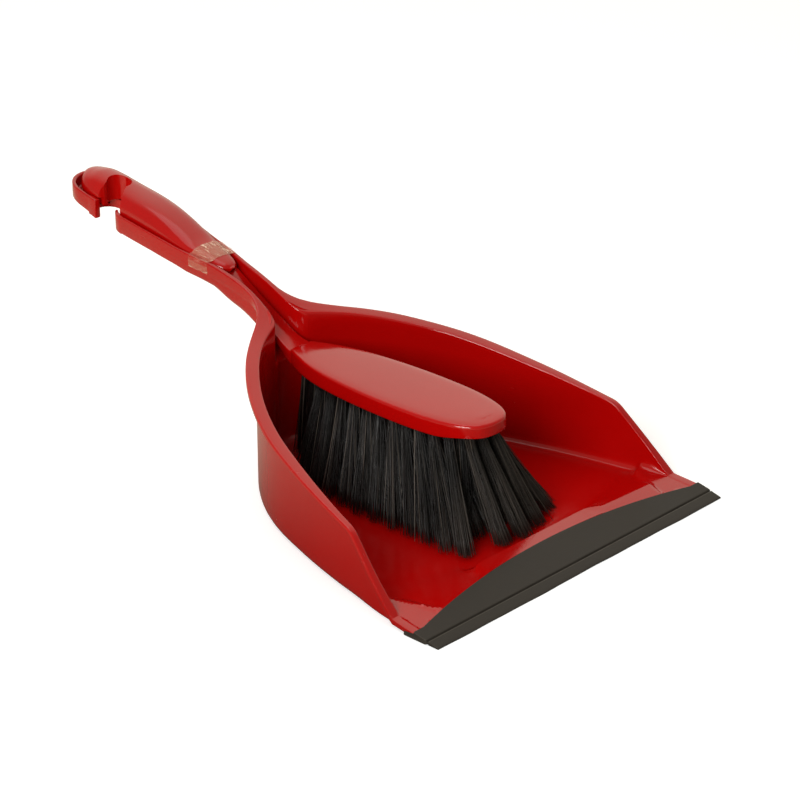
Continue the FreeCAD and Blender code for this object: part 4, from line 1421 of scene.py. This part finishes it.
def film(name):
    """Clear packing tape: mostly see-through, with cloudy patches, and pale peach streaks at
    creases and over the grip painted in as highlights.
    """
    rim_slope, front_rim_z = 0.176, 95.9      # line along the rim under the tape, mm
    m = material_nodes(name)
    streaks = m.noise(scale=420.0, detail=3.0, rough=0.6, distortion=0.6,
                      vec=m.mapping(rot=(0.0, 0.0, 0.6), scale=(1.0, 0.22, 1.0)))
    clouds = m.noise(scale=130.0, detail=3.0, rough=0.6, distortion=0.4,
                     vec=m.mapping(rot=(0, 0, 0.75), scale=(1.0, 0.3, 1.0), loc=(3, 1, 0)))
    # the streaks: paler and more opaque along the creases, painted highlights
    line = m.remap(streaks, span=(0.56, 0.66))
    cloud = m.remap(clouds, span=(0.36, 0.66))
    alpha = m.math("ADD", m.math("MULTIPLY", cloud, 0.16), m.math("MULTIPLY", line, 0.46))
    alpha = m.math("ADD", alpha, 0.14, clamp=True)
    # hardly seen where it is pressed onto the rim, more visible below it, and strongly shown over
    # the grip, where its pale peach colour is a painted highlight
    axes = m.object_axes()
    z_mm = m.math("MULTIPLY", axes["Z"], 1000.0)
    rise = m.math("MULTIPLY", axes["Y"], 1000.0 * rim_slope)
    rim = m.math("ADD", rise, front_rim_z - rim_slope * (TAPE_Y0 + Y0))
    above = m.math("SUBTRACT", z_mm, rim)
    shown = m.math("ADD", m.remap(above, span=(-2.7, -2.1), to=(0.62, 0.0)),
                   m.remap(above, span=(0.2, 0.7), to=(0.0, 1.15)))
    alpha = m.math("MULTIPLY", alpha, m.math("ADD", shown, 0.16), clamp=True)
    return m.finish(m.principled(
        Base_Color=m.mix(line, (0.74, 0.34, 0.24), (0.95, 0.66, 0.50)), IOR=1.47, Alpha=alpha,
        Roughness=m.remap(clouds, span=(0.3, 0.7), to=(0.16, 0.38)),
        Normal=m.bump(streaks, strength=0.45, dist=0.0003)))


def dress(mat, *objects):
    for ob in objects:
        ob.data.materials.clear()
        ob.data.materials.append(mat)


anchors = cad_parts["tuft_anchors"]
dress(plastic("pan_polypropylene", base=(0.430, 0.0014, 0.0011), deep=(0.385, 0.0010, 0.0008),
              rough=0.13, seed=0.0), pan)
dress(plastic("brush_polypropylene", base=(0.440, 0.0018, 0.0013), deep=(0.400, 0.0012, 0.0010),
              rough=0.15, seed=7.0), brush)
dress(rubber("lip_rubber_black"), lip)
dress(fibre("bristle_black"), *bristles)
dress(steel("anchor_wire_steel"), anchors)
dress(film("packing_tape_clear"), tape)

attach(pan, "pan")
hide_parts("pan_shell")
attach(brush, "brush")
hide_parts("brush_stock")
for i, row in enumerate(bristles):
    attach(row, "brush")
    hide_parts("tuft_row_%02d" % (i + 1))
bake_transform(lip)
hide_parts("lip_clamp", "lip_blade")
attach(tape, "tape")
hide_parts("tape_strip")


# ------------------------------------------------------------------ floor, light and camera
def floor_material():
    """White paper to the camera; to the object a warm floor, darkened close to the object by
    painted shade.
    """
    m = material_nodes("studio_floor_paper")
    paper = m.mix(m.noise(scale=3.0, detail=2.0, rough=0.5), (0.90, 0.90, 0.90),
                  (0.93, 0.93, 0.93))
    seen = m.principled(Base_Color=paper, Roughness=0.85, Specular_IOR_Level=0.1,
                        Emission_Color=(0.91, 0.96, 1.0), Emission_Strength=0.40)
    # the floor's colour towards the object is darker near it: painted shade for the shadow round
    # the object's foot
    from_object = m.vector_math("ADD", m.coords["Object"], (0.0, 0.10, 0.0))["Vector"]
    distance = m.vector_math("LENGTH", from_object)["Value"]
    bounce = m.new("ShaderNodeBsdfDiffuse")
    m.link(m.mix(m.remap(distance, span=(0.14, 0.34)), (0.19, 0.165, 0.14), (0.86, 0.75, 0.62)),
           bounce.inputs["Color"])
    choice = m.new("ShaderNodeMixShader")
    m.link(m.new("ShaderNodeLightPath").outputs["Is Camera Ray"], choice.inputs[0])
    m.link(bounce.outputs[0], choice.inputs[1])
    m.link(seen, choice.inputs[2])
    return m.finish(choice.outputs[0])


def build_floor():
    bpy.ops.mesh.primitive_plane_add(size=14.0, location=(0, 0, 0))
    floor = bpy.context.object
    floor.name = "studio_floor"
    floor.data.materials.append(floor_material())


def build_world():
    """White to the camera; to the object a warm glow from the back right."""
    low, high, seen = 0.30, 1.15, 1.05        # strengths away from the glow, in it, to camera
    elevation = math.radians(30.0)
    towards = (0.725 * math.cos(elevation), 0.688 * math.cos(elevation), math.sin(elevation))
    world = bpy.data.worlds.new("studio")
    bpy.context.scene.world = world
    world.use_nodes = True
    m = Nodes(world)
    background = m.tree.nodes["Background"]
    facing = m.vector_math("DOT_PRODUCT", m.coords["Generated"], towards)["Value"]
    glow = m.remap(facing, span=(0.42, 0.93), to=(low, high), interpolation="SMOOTHSTEP")
    camera_ray = m.new("ShaderNodeLightPath").outputs["Is Camera Ray"]
    strength = m.new("ShaderNodeMix", data_type="FLOAT")
    for i, value in ((0, camera_ray), (2, glow), (3, seen)):
        m.set(strength.inputs[i], value)
    m.link(strength.outputs[0], background.inputs[1])
    m.link(m.mix(camera_ray, (1.0, 0.93, 0.80), (1.0, 1.0, 1.0)), background.inputs[0])


def add_softbox(name, location, target, size, power, colour=(1, 1, 1)):
    light = bpy.data.lights.new(name, "AREA")
    light.shape = "RECTANGLE"
    light.size = light.size_y = size
    light.energy, light.color = power, colour
    ob = bpy.data.objects.new(name, light)
    bpy.context.scene.collection.objects.link(ob)
    ob.location = location
    aim = Vector(target) - Vector(location)
    ob.rotation_euler = aim.to_track_quat("-Z", "Y").to_euler()


def add_camera(location, direction, lens):
    camera = bpy.data.cameras.new("photo_camera")
    camera.lens, camera.sensor_width = lens, 36.0
    camera.clip_start, camera.clip_end = 0.05, 50.0
    ob = bpy.data.objects.new("photo_camera", camera)
    bpy.context.scene.collection.objects.link(ob)
    ob.location = location
    ob.rotation_euler = Vector(direction).to_track_quat("-Z", "Y").to_euler()
    bpy.context.scene.camera = ob


build_floor()
build_world()
add_softbox("softbox_key", location=(-1.50, -0.50, 0.92), target=(0, 0.05, 0.03), size=0.9,
            power=26.0, colour=(1.0, 0.98, 0.95))
add_softbox("softbox_top", location=(0.15, 0.25, 1.7), target=(0, 0.05, 0), size=1.0, power=3.5)
add_camera(location=(-0.9591, -0.8997, 0.6698), direction=(0.6574, 0.6239, -0.4226), lens=124.8)
bpy.context.scene.view_settings.view_transform = "Standard"
bpy.context.scene.view_settings.look = "None"
